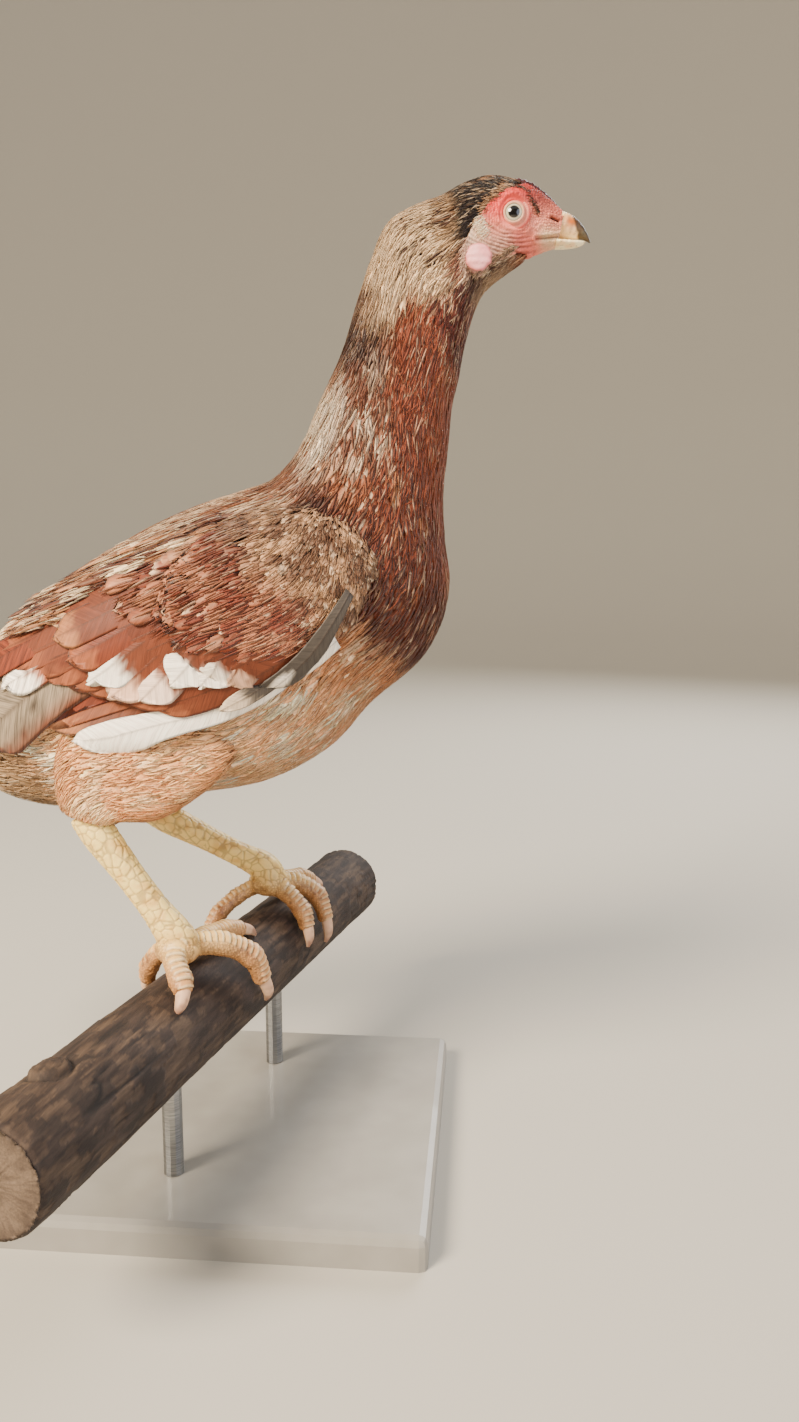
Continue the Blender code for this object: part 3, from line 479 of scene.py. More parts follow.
def face_relief(points):
    """Millimetres that the bare face stands out from the loft."""
    x, z = points[..., 0], points[..., 2]
    dx, dz = x - EYE[0], z - EYE[2]
    reach = eye_reach(points) + 0.7 * mottle(points, 3.2, 41)
    out = sum(rise * bell(dx - at_x, wide) * bell(dz - at_z, tall)
              for rise, at_x, at_z, wide, tall in FACE_FORMS)
    for folds, share in ((ROUND_FOLDS, 1.0), (LOW_FOLDS, ease(-dz, -1.0, 3.0))):
        out += share * sum(rise * bell(reach - far, width) for rise, far, width in folds)
    out -= WRINKLE_DEPTH * wrinkles(points)
    out += PEBBLE_RISE * red_pebbles(points) + ROUGHNESS_RISE * mottle(points, 0.9, 6)
    mouth = near_line(x, z, GAPE, MOUTH_FRONT)
    out += 0.45 * bell(mouth - 1.4, 0.8) - 1.5 * bell(mouth, 0.55)
    nostril = near_line(x, z, NOSTRIL_BACK, NOSTRIL_FRONT)
    out += 0.5 * bell(nostril - 1.5, 0.7) * (z > NOSTRIL_BACK[1]) - 1.8 * bell(nostril, 0.6)
    return out * bareness(points)


print("wrinkles every", WRINKLE_SPACING, "mm")

# %% [markdown]
# Bare skin isn't one red. It is deepest round the eye, pinker on the cheek, almost cream by the
# ear and at the beak, so its tone is a blend of a few named places on the face.

# %% Tones of the face
# x, z and tone
FLESH = (
    (147.0, 478.0, "#E26A60"), (148.0, 483.5, "#C9524A"), (137.0, 473.0, "#DC4F49"),
    (163.5, 464.0, "#F1C3A8"), (165.0, 473.0, "#D88A78"), (152.0, 461.5, "#FFA08F"),
    (141.0, 458.0, "#FBD5BE"), (131.0, 463.0, "#F6DCC4"), (130.0, 451.0, "#ECBDB2"),
    (154.5, 471.0, "#E8A08F"), (139.0, 465.0, "#F09A88"),
    (155.0, 457.5, "#FB9282"), (158.5, 480.0, "#A3564E"),
)
FLESH_SPREAD = 4.2
GAPE_HORN, HORN_TONE = ((162.5, 463.6), (171.0, 463.4)), "#F8E0BC"    # pale skin along the mouth
# painted shade for the wrinkles' grooves, the mouth's slit and the nostril
FACE_SHADE_TONE = "#5E2C24"


def face_tone(points):
    x, z = points[..., 0], points[..., 2]
    total, colour = 0.0, 0.0
    for place_x, place_z, name in FLESH:
        weight = np.exp(-((x - place_x) ** 2 + (z - place_z) ** 2) / (2 * FLESH_SPREAD ** 2)) + 1e-6
        total = total + weight
        colour = colour + weight[..., None] * tone(name)
    colour = colour / total[..., None]
    colour = mixed(colour, HORN_TONE, 0.85 * bell(near_line(x, z, *GAPE_HORN), 2.6))
    light = 1 + 0.14 * mottle(points, 1.3, 8) + 0.14 * mottle(points, 0.6, 9)
    rough = ease(eye_reach(points), *ROUGH_FROM)
    # Painted light and shade: the tops of the red pebbles are lighter, the rough skin between darker
    light = light * (1 + 0.55 * (red_pebbles(points) - 0.45 * rough))
    # Painted shade: the wrinkles' grooves, the mouth's slit and the nostril are darker
    dark = 0.86 * wrinkles(points) + 0.75 * bell(near_line(x, z, GAPE, MOUTH_FRONT), 0.5)
    dark = np.clip(dark + 0.9 * bell(near_line(x, z, NOSTRIL_BACK, NOSTRIL_FRONT), 0.6), 0, 1)
    return mixed(colour * light[..., None], FACE_SHADE_TONE, dark)


print("places of the face with their own tone:", len(FLESH))

# %% [markdown]
# A mesh of many faces is quickest made from arrays. This builder takes rings of points, joins
# each ring to the next with quads, and closes both ends, so every piece is a sealed solid. It
# measures the signed volume, and turns the faces if the rings ran the wrong way round. Geometry
# Nodes could copy one feather along the rows, but each feather here is bent to the skin under
# it, and its tones depend on its place, so arrays give the real look with less.


def rings_mesh(name, rings, material, colours=None, maps=None, loop=False):
    """One mesh from rings[(piece,) ring, corner, xyz] in millimetres, with colours and UV maps."""
    rings = rings if rings.ndim == 4 else rings[None]
    pieces, count, corners = rings.shape[:3]
    index = np.arange(pieces * count * corners).reshape(pieces, count, corners)
    near, far = (index, np.roll(index, -1, axis=1)) if loop else (index[:, :-1], index[:, 1:])
    sides = np.stack((near, far, np.roll(far, -1, axis=2), np.roll(near, -1, axis=2)), axis=-1)
    centre = rings.mean(axis=(1, 2), keepdims=True)
    a, b, c = (rings.reshape(-1, 3)[sides[..., k]] - centre for k in (0, 1, 2))
    volume = np.einsum("...i,...i->...", a, np.cross(b, c)).sum()
    ends = (index[:0, 0],) * 2 if loop else (index[:, 0], index[:, -1][:, ::-1])
    if volume < 0:
        sides, ends = sides[..., ::-1], tuple(end[:, ::-1] for end in ends)
    loops = np.concatenate([sides.ravel()] + [end.ravel() for end in ends])
    quads = sides.size // 4
    caps = sum(len(end) for end in ends)
    starts = np.concatenate((np.arange(quads) * 4, quads * 4 + np.arange(caps) * corners))
    mesh = bpy.data.meshes.new(name)
    mesh.vertices.add(index.size)
    mesh.loops.add(len(loops))
    mesh.polygons.add(len(starts))
    mesh.vertices.foreach_set("co", (rings * MM).astype(np.float32).ravel())
    mesh.loops.foreach_set("vertex_index", loops.astype(np.int32))
    mesh.polygons.foreach_set("loop_start", starts.astype(np.int32))
    mesh.update(calc_edges=True)
    mesh.shade_smooth()
    if colours is not None:
        paint(mesh, colours.reshape(-1, 3))
    for key, uv in (maps or {}).items():
        layer = mesh.uv_layers.new(name=key)
        layer.data.foreach_set("uv", uv.reshape(-1, 2)[loops].astype(np.float32).ravel())
    mesh.materials.append(material)
    return mesh


def paint(mesh, colours):
    """Give each point of a mesh its own linear colour, as the attribute 'plumage'."""
    layer = mesh.attributes.new("plumage", "FLOAT_COLOR", "POINT")
    rgba = np.ones((len(mesh.vertices), 4), np.float32)
    rgba[:, :3] = np.clip(colours, 0.0, 1.0)
    layer.data.foreach_set("color", rgba.ravel())


def show(name, mesh, *nodes):
    """The mesh as a piece that rides on the hen and stands for these solids."""
    piece = new_object(name, mesh)
    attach(piece, "root")
    if nodes:
        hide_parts(*nodes)
    print(name, sum(len(face.vertices) - 2 for face in mesh.polygons), "triangles")
    return piece


def add(name, rings, finish, colours, *nodes, **more):
    """A piece made of rings, in its own tones."""
    show(name, rings_mesh(name, rings, finish, colours, **more), *nodes)


# %% [markdown]
# Skin under plumage is thin and a little translucent, with the gloss of fine grease, so light
# goes a millimetre or two into it and comes back red. Its colour comes from the painted
# attribute. The finest pores are bump, since they are under half a millimetre.

# %% Finish of the skin
PORE_SIZE = 0.45


def painted_finish(name, pattern=None, **constants):
    """A finish in a piece's own painted tones. The pattern is a texture node's kind, its inputs,
    the output to use, and the depth and strength of its bump."""
    material, tree, shader = new_material(name, **constants)
    colour = add_node(tree, "ShaderNodeAttribute", attribute_name="plumage")
    tree.links.new(colour.outputs["Color"], shader.inputs["Base Color"])
    if pattern:
        kind, inputs, output, depth, strength = pattern
        grain = add_node(tree, kind, {"Vector": object_space(tree), **inputs})
        add_bump(tree, shader, grain.outputs[output], depth, strength)
    return material


skin_finish = painted_finish(
    "bare_poultry_skin",
    ("ShaderNodeTexVoronoi", {"Scale": 1 / (PORE_SIZE * MM)}, "Distance", 0.12, 0.5),
    Roughness=0.52, IOR=1.4, Subsurface_Weight=0.12, Subsurface_Scale=1.0,
    Subsurface_Radius=(0.0022, 0.0008, 0.0005))
print("pores every", PORE_SIZE, "mm")

# %% [markdown]
# The thighs are short, full drumsticks that narrow to the hock. Each is a loft of its own, whose
# rings are carried along a bent path without twisting.

# %% Thighs as lofts
# Centre (x, y, z), half width fore and aft, half width sideways
THIGHS = {
    "right": ((-6, -32, 264, 44, 17), (-22, -38, 239, 43, 18.5), (-35, -43.5, 220, 36, 18),
              (-45, -48.0, 207, 27, 14.5), (-49.5, -50, 199.5, 19, 11.5),
              (-51.5, -50, 193.5, 12.5, 9.5)),
    "left": ((-4, 33, 260, 42, 17), (-19, 39, 233, 40, 18.5), (-32, 44, 210, 30, 17),
             (-42, 45.5, 191, 18, 13.5), (-50, 45, 181, 12, 10.5), (-55, 44.5, 173.5, 9, 8.7)),
}
THIGH_RINGS, THIGH_SIDES, THIGH_COAT = 33, 40, 3.2


def path_rings(rows, sides, inset=0.0):
    """Rings across a path whose rows are x, y, z and two half widths, without twisting."""
    rings, across, turn = [], np.array((0.0, 1.0, 0.0)), turns(sides)
    for i, row in enumerate(rows):
        ahead = unit(rows[min(i + 1, len(rows) - 1)][:3] - rows[max(i - 1, 0)][:3])
        if i == 0 and abs(ahead[1]) > 0.8:
            across = np.array((1.0, 0.0, 0.0))
        across = unit(across - ahead * across.dot(ahead))
        stride = np.cross(ahead, across)
        rings.append(row[:3] + np.outer(np.cos(turn), stride) * (row[3] - inset)
                     + np.outer(np.sin(turn), across) * (row[4] - inset))
    return np.array(rings)


def grid_surface(grid, closed):
    """A surface that reads a grid of points by row and by column (turns, if it is closed)."""
    rows, columns = grid.shape[:2]

    def surface(p, q):
        p = np.clip(p, 0, rows - 1.0001)
        q = np.mod(q, columns) if closed else np.clip(q, 0, columns - 1.0001)
        i, j = np.floor(p).astype(int), np.floor(q).astype(int) % columns
        f, g = (p - i)[..., None], (q - np.floor(q))[..., None]
        after = (j + 1) % columns if closed else j + 1
        return ((grid[i, j] * (1 - g) + grid[i, after] * g) * (1 - f)
                + (grid[i + 1, j] * (1 - g) + grid[i + 1, after] * g) * f)
    return surface


THIGH_ROWS = {side: eased(np.array(rows, dtype=float), np.linspace(0, len(rows) - 1, THIGH_RINGS))
              for side, rows in THIGHS.items()}
print("thighs:", list(THIGH_ROWS))

# %% [markdown]
# The skin is one loft from beak to rump, with close rings on the head, where it shows, and wide
# ones below. A Boolean union joins the thighs to it, so that there is one skin with no seam.

# %% One skin
HEAD_RINGS, HEAD_END, BODY_RINGS, SKIN_SIDES = 176, 6.3, 60, 288
SOCKET_EDGE, SOCKET_SLOPE = 0.3, 1.3        # the skin dips under the eye inside the lids
SHADE_UNDER_COAT = 0.8                            # the skin under the feathers is painted darker, as painted shade


def search_tree(places):
    """A tree that finds the nearest of these places quickly."""
    tree = KDTree(len(places))
    for i, place in enumerate(places):
        tree.insert(place, i)
    tree.balance()
    return tree


def solid_mesh(piece):
    """A plain mesh of a piece with its modifiers applied."""
    bpy.context.view_layer.update()
    return bpy.data.meshes.new_from_object(
        piece.evaluated_get(bpy.context.evaluated_depsgraph_get()))


def skin_points():
    """The loft of the body less its coat, with the face's relief and sockets for the eyes."""
    s = np.concatenate((np.linspace(0, HEAD_END, HEAD_RINGS, endpoint=False),
                        np.linspace(HEAD_END, LAST, BODY_RINGS)))
    s, theta = np.meshgrid(s, turns(SKIN_SIDES), indexing="ij")
    points = body(s, theta)
    normal = slopes(body, s, theta)[2]
    points = points + normal * (face_relief(points) - coat_depth(s, points))[..., None]
    reach = eye_reach(points)
    under_eye = EYE[1] + np.sqrt(np.maximum(EYE_RADIUS ** 2 - reach ** 2, 1.0)) - 1.2
    edge = LID_OPENING + SOCKET_EDGE
    sunk = 1 - ease(reach, edge, edge + SOCKET_SLOPE)
    level = np.abs(points[..., 1]) * (1 - sunk) + under_eye * sunk
    eyeward = np.abs(points[..., 1]) > EYE[1] * 0.6
    points[..., 1] = np.where(eyeward, np.sign(points[..., 1]) * level, points[..., 1])
    return points


def make_skin():
    skin = show("hen_skin", rings_mesh("hen_skin", skin_points(), skin_finish),
                "head", "neck", "torso", "thigh_right", "thigh_left")
    for side, rows in THIGH_ROWS.items():
        thigh = new_object("thigh_form", rings_mesh(
            "thigh_form", path_rings(rows, THIGH_SIDES, THIGH_COAT), skin_finish))
        union = skin.modifiers.new("thigh_" + side, "BOOLEAN")
        union.operation, union.solver, union.object = "UNION", "MANIFOLD", thigh
        fused = solid_mesh(skin)
        skin.modifiers.clear()
        skin.data = fused
        bpy.data.objects.remove(thigh)
    skin.data.name = "hen_skin"
    return skin


def mesh_points(mesh, what="vertices", key="co"):
    data = np.zeros(len(getattr(mesh, what)) * 3, np.float32)
    getattr(mesh, what).foreach_get(key, data)
    return data.reshape(-1, 3).astype(float)


def body_places(points):
    """The nearest station and angle of the body for any points."""
    s, theta = np.meshgrid(np.linspace(0, LAST, 260), turns(72), indexing="ij")
    tree = search_tree(body(s, theta).reshape(-1, 3))
    found = np.array([tree.find(point)[1] for point in points])
    return s.ravel()[found], theta.ravel()[found]


def paint_skin(skin):
    points = mesh_points(skin.data) / MM
    s, theta = body_places(points)
    # Painted shade: the skin seen between the feathers is darker than their markings
    coat = markings(s, theta, points) * SHADE_UNDER_COAT
    paint(skin.data, mixed(coat, face_tone(points), bareness(points)))


skin = make_skin()
paint_skin(skin)

# %% [markdown]
# A feather is a thin vane with a rounded, slightly ragged end. Real barbs leave the shaft at a
# slant, so its second UV map, "Barbs", measures millimetres along the slant and across it, and
# one finish can draw barbs on every feather. Each feather follows the surface it grows from:
# its root is sunk to the skin and its tip rises to the coat's outside, over the next ones.

# %% Vanes
# Rings of a vane from root to tip, its width at each as a share, and its columns across
LONG_VANE = {"spans": (0.0, 0.24, 0.52, 0.76, 0.91, 1.0),
             "widths": (0.40, 0.88, 1.0, 0.86, 0.55, 0.10), "across": np.linspace(-1, 1, 5)}
WISP = {"spans": (0.0, 0.3, 0.68, 1.0), "widths": (0.7, 1.0, 0.72, 0.12),
        "across": np.array((-1.0, 1.0))}
SMALL_VANE = {"spans": (0.0, 0.35, 0.7, 1.0), "widths": (0.50, 0.95, 0.80, 0.10),
              "across": np.linspace(-1, 1, 3)}
EACH = (slice(None), None, None)    # spreads one number a feather over its rings and corners


def lifted(surface, p, q, height):
    """Points of a surface, moved out along its normal."""
    return surface(p, q) + slopes(surface, p, q)[2] * np.asarray(height)[..., None]


def on_surface(surface, p, q, turn):
    """A function that lays millimetres (x to the tip, y across, h out) on a surface at p, q."""
    along, around, normal = slopes(surface, p, q)
    ahead = unit(along)
    beside = np.cross(normal, ahead)
    way = ahead * np.cos(turn)[:, None] + beside * np.sin(turn)[:, None]
    side = np.cross(normal, way)
    aa, ab, bb = ((along * along).sum(1), (along * around).sum(1), (around * around).sum(1))
    scale = np.maximum(aa * bb - ab * ab, 1e-9)

    def place(x, y, h):
        step = way[EACH] * x[..., None] + side[EACH] * y[..., None]
        da, db = (step * along[EACH]).sum(-1), (step * around[EACH]).sum(-1)
        dp = (bb[EACH] * da - ab[EACH] * db) / scale[EACH]
        dq = (aa[EACH] * db - ab[EACH] * da) / scale[EACH]
        return lifted(surface, p[EACH] + dp, q[EACH] + dq, h)
    return place


def vane_rings(place, form, length, width, depth, lift, slope=0.7, camber=0.05, ragged=0.12,
               thickness=0.10, lean=0.0, shaft=0.0):
    """Rings of closed vanes, with u (root to tip), v (-1 to 1 across), x and y of each point.

    The root lies depth under the tip's lift; past the first third the vane is nearly flat.
    """
    columns = form["across"]
    width, depth, lift = (np.broadcast_to(value, length.shape) for value in (width, depth, lift))
    u = np.array(form["spans"])[None, :, None]
    v = np.append(columns, 0.0)[None, None, :]
    under = np.append(np.zeros(len(columns)), 1.0)
    half = np.array(form["widths"])[None, :, None] * (width / 2)[EACH]
    notch = chance.uniform(0, 1, (len(length), 1, len(columns) + 1)) * ragged * ease(u, 0.55, 1.0)
    notch[..., -1] = notch[..., len(columns) // 2]
    sag = 0.16 * (v ** 2) * ease(u, 0.7, 1.0)
    x = length[EACH] * (u - notch - sag * (width / length)[EACH])
    y = half * v
    h = lift[EACH] - slope * (1 - u) - (depth - slope)[EACH] * (1 - ease(u, 0.0, 0.38))
    h = h + camber * half * (1 - v ** 2) - lean * v + shaft * bell(v, 0.09) * (1 - 0.6 * u)
    h = h - (thickness + shaft) * under * (1 - 0.5 * u)
    u, v = np.broadcast_to(u, x.shape), np.broadcast_to(v, x.shape)
    return place(x, y, h), u, v, x, y


print("points of a vane:", {name: len(form["spans"]) * (len(form["across"]) + 1) for name, form in (
    ("long", LONG_VANE), ("small", SMALL_VANE), ("wisp", WISP))})

# %% [markdown]
# A feather isn't one tone either. Its root is darker, partly its own tone and partly painted
# shade under the feathers that lie over it; its end is often paler, and the shaft and the barbs
# leave fine streaks. Its map for baking is a small patch at its root's place on the unwrapped
# skin, so that neighbours on the bird stay neighbours on the map.

# %% Tones and maps of a feather
PATCH = 0.003               # size of one feather in the bake map
SHAFT_TONE = "#F1DFC6"


def barb_map(x, y, sweep, shift):
    """Millimetres along the slant of the barbs, and away from the shaft."""
    return joined(x - np.abs(y) * sweep + shift[EACH], np.abs(y))


def vane_colours(u, v, base, tip, tip_from, root_shade, shaft, streaks):
    """Point colours: a darker root, partly painted shade; the feather's tone; its tip's; the shaft."""
    count, _, corners = u.shape
    ragged = chance.normal(0, 0.06, (count, 1, corners))
    share = ease(u + ragged, (tip_from - 0.12)[EACH], (tip_from + 0.12)[EACH])
    colour = mixed(base[EACH], tip[EACH], share)
    colour = mixed(colour, SHAFT_TONE, shaft * (1 - ease(np.abs(v), 0.0, 0.34)) * (u > 0.2))
    grain = 1 + streaks * chance.normal(0, 1, (count, 1, corners))
    grain = grain * (1 + streaks * 0.6 * chance.normal(0, 1, u.shape))
    # The root is darker, partly its own tone and partly painted shade under the feathers over it
    shade = 1 - root_shade * (1 - ease(u, 0.0, 0.55))
    return colour * (grain * shade)[..., None]


print("a feather's patch is", PATCH, "of the map")

# %% [markdown]
# Feathers are keratin, matt with a silky sheen that comes from the barbs lying side by side.
# Barbs are 0.3 mm apart, too fine for the render, so the finish draws them in clumps of about a
# millimetre, as slanting streaks of light and dark with a little bump. Contour feathers are the
# mattest, flight feathers are smooth and firm, and loose barbs show the strongest streaks.

# %% Finish of the plumage
BARB_CLUMPS = ((2.4, 16.0), (0.8, 9.0))     # width and length of clumps of barbs


def plumage_finish(name, contrast, depth, roughness):
    material, tree, shader = new_material(name, Roughness=roughness, Sheen_Weight=0.08,
                                          Sheen_Roughness=0.45, Specular_IOR_Level=0.25)
    colour = add_node(tree, "ShaderNodeAttribute", attribute_name="plumage")
    barbs = add_node(tree, "ShaderNodeUVMap", uv_map="Barbs")
    lights = []
    for clump, length in BARB_CLUMPS:
        slant = add_node(tree, "ShaderNodeVectorMath", {
            0: barbs.outputs["UV"], 1: (1 / clump, 1 / length, 0.0)}, operation="MULTIPLY")
        noise = add_node(tree, "ShaderNodeTexNoise", {
            "Vector": slant.outputs["Vector"], "Scale": 1.0, "Detail": 2.0, "Roughness": 0.6},
            noise_dimensions="2D")
        lights.append(noise.outputs[0])
    both = add_node(tree, "ShaderNodeMath", {0: lights[0], 1: lights[1]}, operation="ADD")
    light = add_node(tree, "ShaderNodeMapRange", {
        "Value": both.outputs[0], "From Min": 0.7, "From Max": 1.3, "To Min": 1 - contrast,
        "To Max": 1 + contrast})
    shaded = add_node(tree, "ShaderNodeVectorMath", {
        0: colour.outputs["Color"], 1: light.outputs["Result"]}, operation="MULTIPLY")
    tree.links.new(shaded.outputs["Vector"], shader.inputs["Base Color"])
    add_bump(tree, shader, both.outputs[0], depth, 0.5)
    return material


contour_finish = plumage_finish("contour_feather_keratin", 0.26, 0.4, 0.66)
flight_finish = plumage_finish("flight_feather_keratin", 0.24, 0.25, 0.5)
loose_finish = plumage_finish("loose_barb_keratin", 0.55, 0.5, 0.6)
print("clumps of barbs in mm:", BARB_CLUMPS)

# %% [markdown]
# The folded wing lies on the flank like a long leaf, raised in front by its muscle and bones and
# behind by the thigh. Its feathers could be laid in space one by one, but on a surface of its own,
# with an axis to the tips and one across them, each needs only a few numbers.

# %% The wing's own frame on the flank
WING_BEND, WING_SLOPE = (83.7, 309.8), math.radians(25.0)
WING_PAD_CENTRE, WING_PAD_SIZE, WING_PAD_LIFT = (42.0, 9.0), (47.0, 36.0), 7.6
WING_LOW, WING_STEP, WING_CELLS = (-24.0, -62.0), 2.0, (138, 76)
FLANK_FROM = 9.4                    # the first station that the wing can lie on
THIGH_NEAR, THIGH_GAP, THIGH_MOST = 3.5, 1.5, 14.0
HANDS = {"right": -1, "left": 1}


def flank_place(x, z):
    """Station and angle of the body's surface that the side view shows at x, z."""
    low, high = np.full(x.shape, FLANK_FROM), np.full(x.shape, LAST)
    for _ in range(30):
        s = (low + high) / 2
        row = eased(STATIONS, s)
        turn = ((row[..., 0] - row[..., 2]) * (z - row[..., 3])
                - (row[..., 1] - row[..., 3]) * (x - row[..., 2]))
        low, high = np.where(turn > 0, s, low), np.where(turn > 0, high, s)
    span = row[..., 0:2] - row[..., 2:4]
    part = (x - row[..., 2]) * span[..., 0] + (z - row[..., 3]) * span[..., 1]
    return s, np.arccos(np.clip(2 * part / (span ** 2).sum(-1) - 1, -0.97, 0.97))


def wing_axes(a, b):
    """Side view x, z of a place in the wing: a runs to the tips, b up across them."""
    return (WING_BEND[0] - a * math.cos(WING_SLOPE) - b * math.sin(WING_SLOPE),
            WING_BEND[1] - a * math.sin(WING_SLOPE) + b * math.cos(WING_SLOPE))


def wing_place(x, z):
    """The place in the wing of a side view x, z."""
    dx, dz = x - WING_BEND[0], z - WING_BEND[1]
    return (-dx * math.cos(WING_SLOPE) - dz * math.sin(WING_SLOPE),
            -dx * math.sin(WING_SLOPE) + dz * math.cos(WING_SLOPE))


def pad_reach(a, b):
    """0 at the middle of the wing's muscle and bones, and 1 at their edge."""
    return np.hypot((a - WING_PAD_CENTRE[0]) / WING_PAD_SIZE[0],
                    (b - WING_PAD_CENTRE[1]) / WING_PAD_SIZE[1])


def thigh_reach(side, x, z):
    """How far out the thigh's coat lies at each x, z of the side view, or 0 away from it."""
    rings = path_rings(THIGH_ROWS[side], THIGH_SIDES)
    centre = rings.mean(axis=1, keepdims=True)
    outer = rings[np.abs(rings[..., 1]) > np.abs(centre[..., 1])]
    tree = search_tree(outer * (1, 0, 1))
    reach = np.zeros(x.size)
    for k, place in enumerate(zip(x.ravel(), z.ravel())):
        _, i, far = tree.find((place[0], 0.0, place[1]))
        if far < THIGH_NEAR:
            reach[k] = abs(outer[i][1])
    return reach.reshape(x.shape)


def blurred(grid, rounds):
    for _ in range(rounds):
        wide = np.pad(grid, 1, mode="edge")
        grid = (wide[:-2, 1:-1] + wide[2:, 1:-1] + wide[1:-1, :-2] + wide[1:-1, 2:]) / 4
    return grid


def make_wing_surface(side, hand):
    a, b = np.meshgrid(WING_LOW[0] + WING_STEP * np.arange(WING_CELLS[0]),
                       WING_LOW[1] + WING_STEP * np.arange(WING_CELLS[1]), indexing="ij")
    x, z = wing_axes(a, b)
    s, theta = flank_place(x, z)
    grid = body(s, theta)
    raised = np.maximum(thigh_reach(side, x, z) + THIGH_GAP + grid[..., 1], 0.0)
    grid[..., 1] -= blurred(np.where(raised < THIGH_MOST, raised, 0.0), 12)
    pad = WING_PAD_LIFT * np.sqrt(1 - np.clip(pad_reach(a, b), 0, 1) ** 2.6)
    grid = grid + slopes(body, s, theta)[2] * pad[..., None]
    if hand > 0:
        grid = grid * (1, -1, 1)
    cells = grid_surface(grid, False)

    def surface(p, q):
        """The right wing's second axis runs down, so that both normals point outward."""
        return cells((p - WING_LOW[0]) / WING_STEP, (hand * q - WING_LOW[1]) / WING_STEP)
    return surface


WING_SURFACES = {side: make_wing_surface(side, hand) for side, hand in HANDS.items()}
print("wing surfaces:", list(WING_SURFACES))

# %% [markdown]
# Feathers grow in rows. Each tract of the body gets strips that run from head to tail; along
# each strip a root is set every third of a feather's length, so that three layers cover the
# skin, and roots, turns and sizes vary a little as real ones do. Roots on the bare face, under
# the folded wing, or inside another part of the body are left out. Scattering them evenly would
# be shorter, but it leaves gaps and loses the rows.

# %% Roots in rows
WING_EDGE_A = (0, 13, 40, 65, 95, 151, 190)
WING_EDGE_LOW, WING_EDGE_HIGH = (0, -13, -22, -27, -27, -14, 8), (8, 40, 48, 52, 54, 48, 42)
WING_MARGIN = 7.0
COVERED_FROM, COVERED_TO, COVERED_WIDTH = 14, 160, 18
SHAKE = 0.28                        # how far a root strays from its row, as a share of the steps


def root_rows(surface, first, last, columns, around, spacing):
    """Places p, q in strips from first to last, each a root's spacing after the one before."""
    q = (np.arange(columns) + 0.5) * around / columns
    p = first + chance.uniform(0, 1, columns) * (last - first) * 0.06
    found = []
    while (p < last).any():
        pace = spacing(p) / np.linalg.norm(slopes(surface, p, q)[0], axis=-1)
        shift = chance.normal(0, SHAKE, (2, columns))
        place = np.stack((p + shift[0] * pace, q + shift[1] * around / columns))
        found.append(place[:, p < last])
        p = p + pace
    return np.concatenate(found, axis=1)


def under_wing(points):
    a, b = wing_place(points[..., 0], points[..., 2])
    low = np.interp(a, WING_EDGE_A, WING_EDGE_LOW) + WING_MARGIN
    high = np.interp(a, WING_EDGE_A, WING_EDGE_HIGH) - WING_MARGIN
    return ((np.abs(points[..., 1]) > COVERED_WIDTH) & (a > COVERED_FROM) & (a < COVERED_TO)
            & (b > low) & (b < high))


def tract_roots(first, last, strip, spacing):
    """Roots of one tract of the body, without those on the bare face and under the wing."""
    edge = np.diff(body(np.full(73, (first + last) / 2), np.linspace(0, 2 * math.pi, 73)), axis=0)
    columns = int(np.linalg.norm(edge, axis=1).sum() / strip)
    s, theta = root_rows(body, first, last, columns, 2 * math.pi, spacing)
    roots = body(s, theta)
    shown = (bareness(roots) < 0.5) & ~under_wing(roots) & (s > 1.0) & (s < LAST - 0.4)
    return s[shown], theta[shown], roots[shown]


print("the wing covers", COVERED_TO - COVERED_FROM, "mm of the flank")

# %% [markdown]
# Every tract gets two kinds of feathers, grown by the same two functions all over the bird: full
# vanes, and wisps. Wisps are thin tufts of barbs that have come loose. They lie over the vanes
# and break up their edges, which is what makes plumage look soft.

# %% Coat of the body
# name: first and last station, feather's length and width at each end, vane, share of pale tips,
# lift of the tips, length and width of the wisps
TRACTS = (
    ("crown", 1.2, 5.6, (5.0, 8.5), (1.7, 2.6), SMALL_VANE, 0.24, 0.2, 5.0, 0.45),
    ("nape", 5.5, 8.2, (10, 15), (2.8, 3.8), SMALL_VANE, 0.20, 0.3, 9.0, 0.7),
    ("hackle", 8.1, 10.8, (16, 19), (4.2, 5.0), LONG_VANE, 0.14, 0.3, 13.0, 0.9),
    ("collar", 10.7, 13.3, (19, 20), (5.0, 6.2), LONG_VANE, 0.12, 0.3, 14.0, 1.1),
    ("breast", 13.2, 15.6, (20, 21), (6.2, 7.0), LONG_VANE, 0.08, 0.3, 14.0, 1.3),
    ("flank", 15.5, 18.2, (21, 22), (7.0, 7.6), LONG_VANE, 0.08, 0.3, 15.0, 1.4),
    ("belly", 18.1, 20.6, (22, 22), (7.6, 8.0), LONG_VANE, 0.10, 0.5, 15.0, 1.4),
    ("vent", 20.5, 24.4, (22, 14), (8.0, 5.0), LONG_VANE, 0.16, 0.8, 14.0, 1.3),
)
EXPOSED, STRIP = 0.30, 0.52         # parts of a feather's length and width that one root takes
WISP_EXPOSED, WISP_STRIP = 0.42, 0.95
WISP_DEPTH = 2.2
PALE_TIP, PALE_WISP = "#F0D9BC", "#EFD8BC"
PALE_WISPS, DARK_WISPS = 0.14, 0.16         # shares of them
STRONG_CONTRAST, SOFT_CONTRAST = 1.0, 0.55
MAP_EDGE, MAP_SIZE, SKIN_MAP_WIDTH = 0.02, 0.95, 0.58       # the body's part of the bake map


def skin_uv(s, theta):
    around = np.mod(theta, 2 * math.pi) / (2 * math.pi)
    return joined(MAP_EDGE + SKIN_MAP_WIDTH * around, MAP_EDGE + MAP_SIZE * s / LAST)


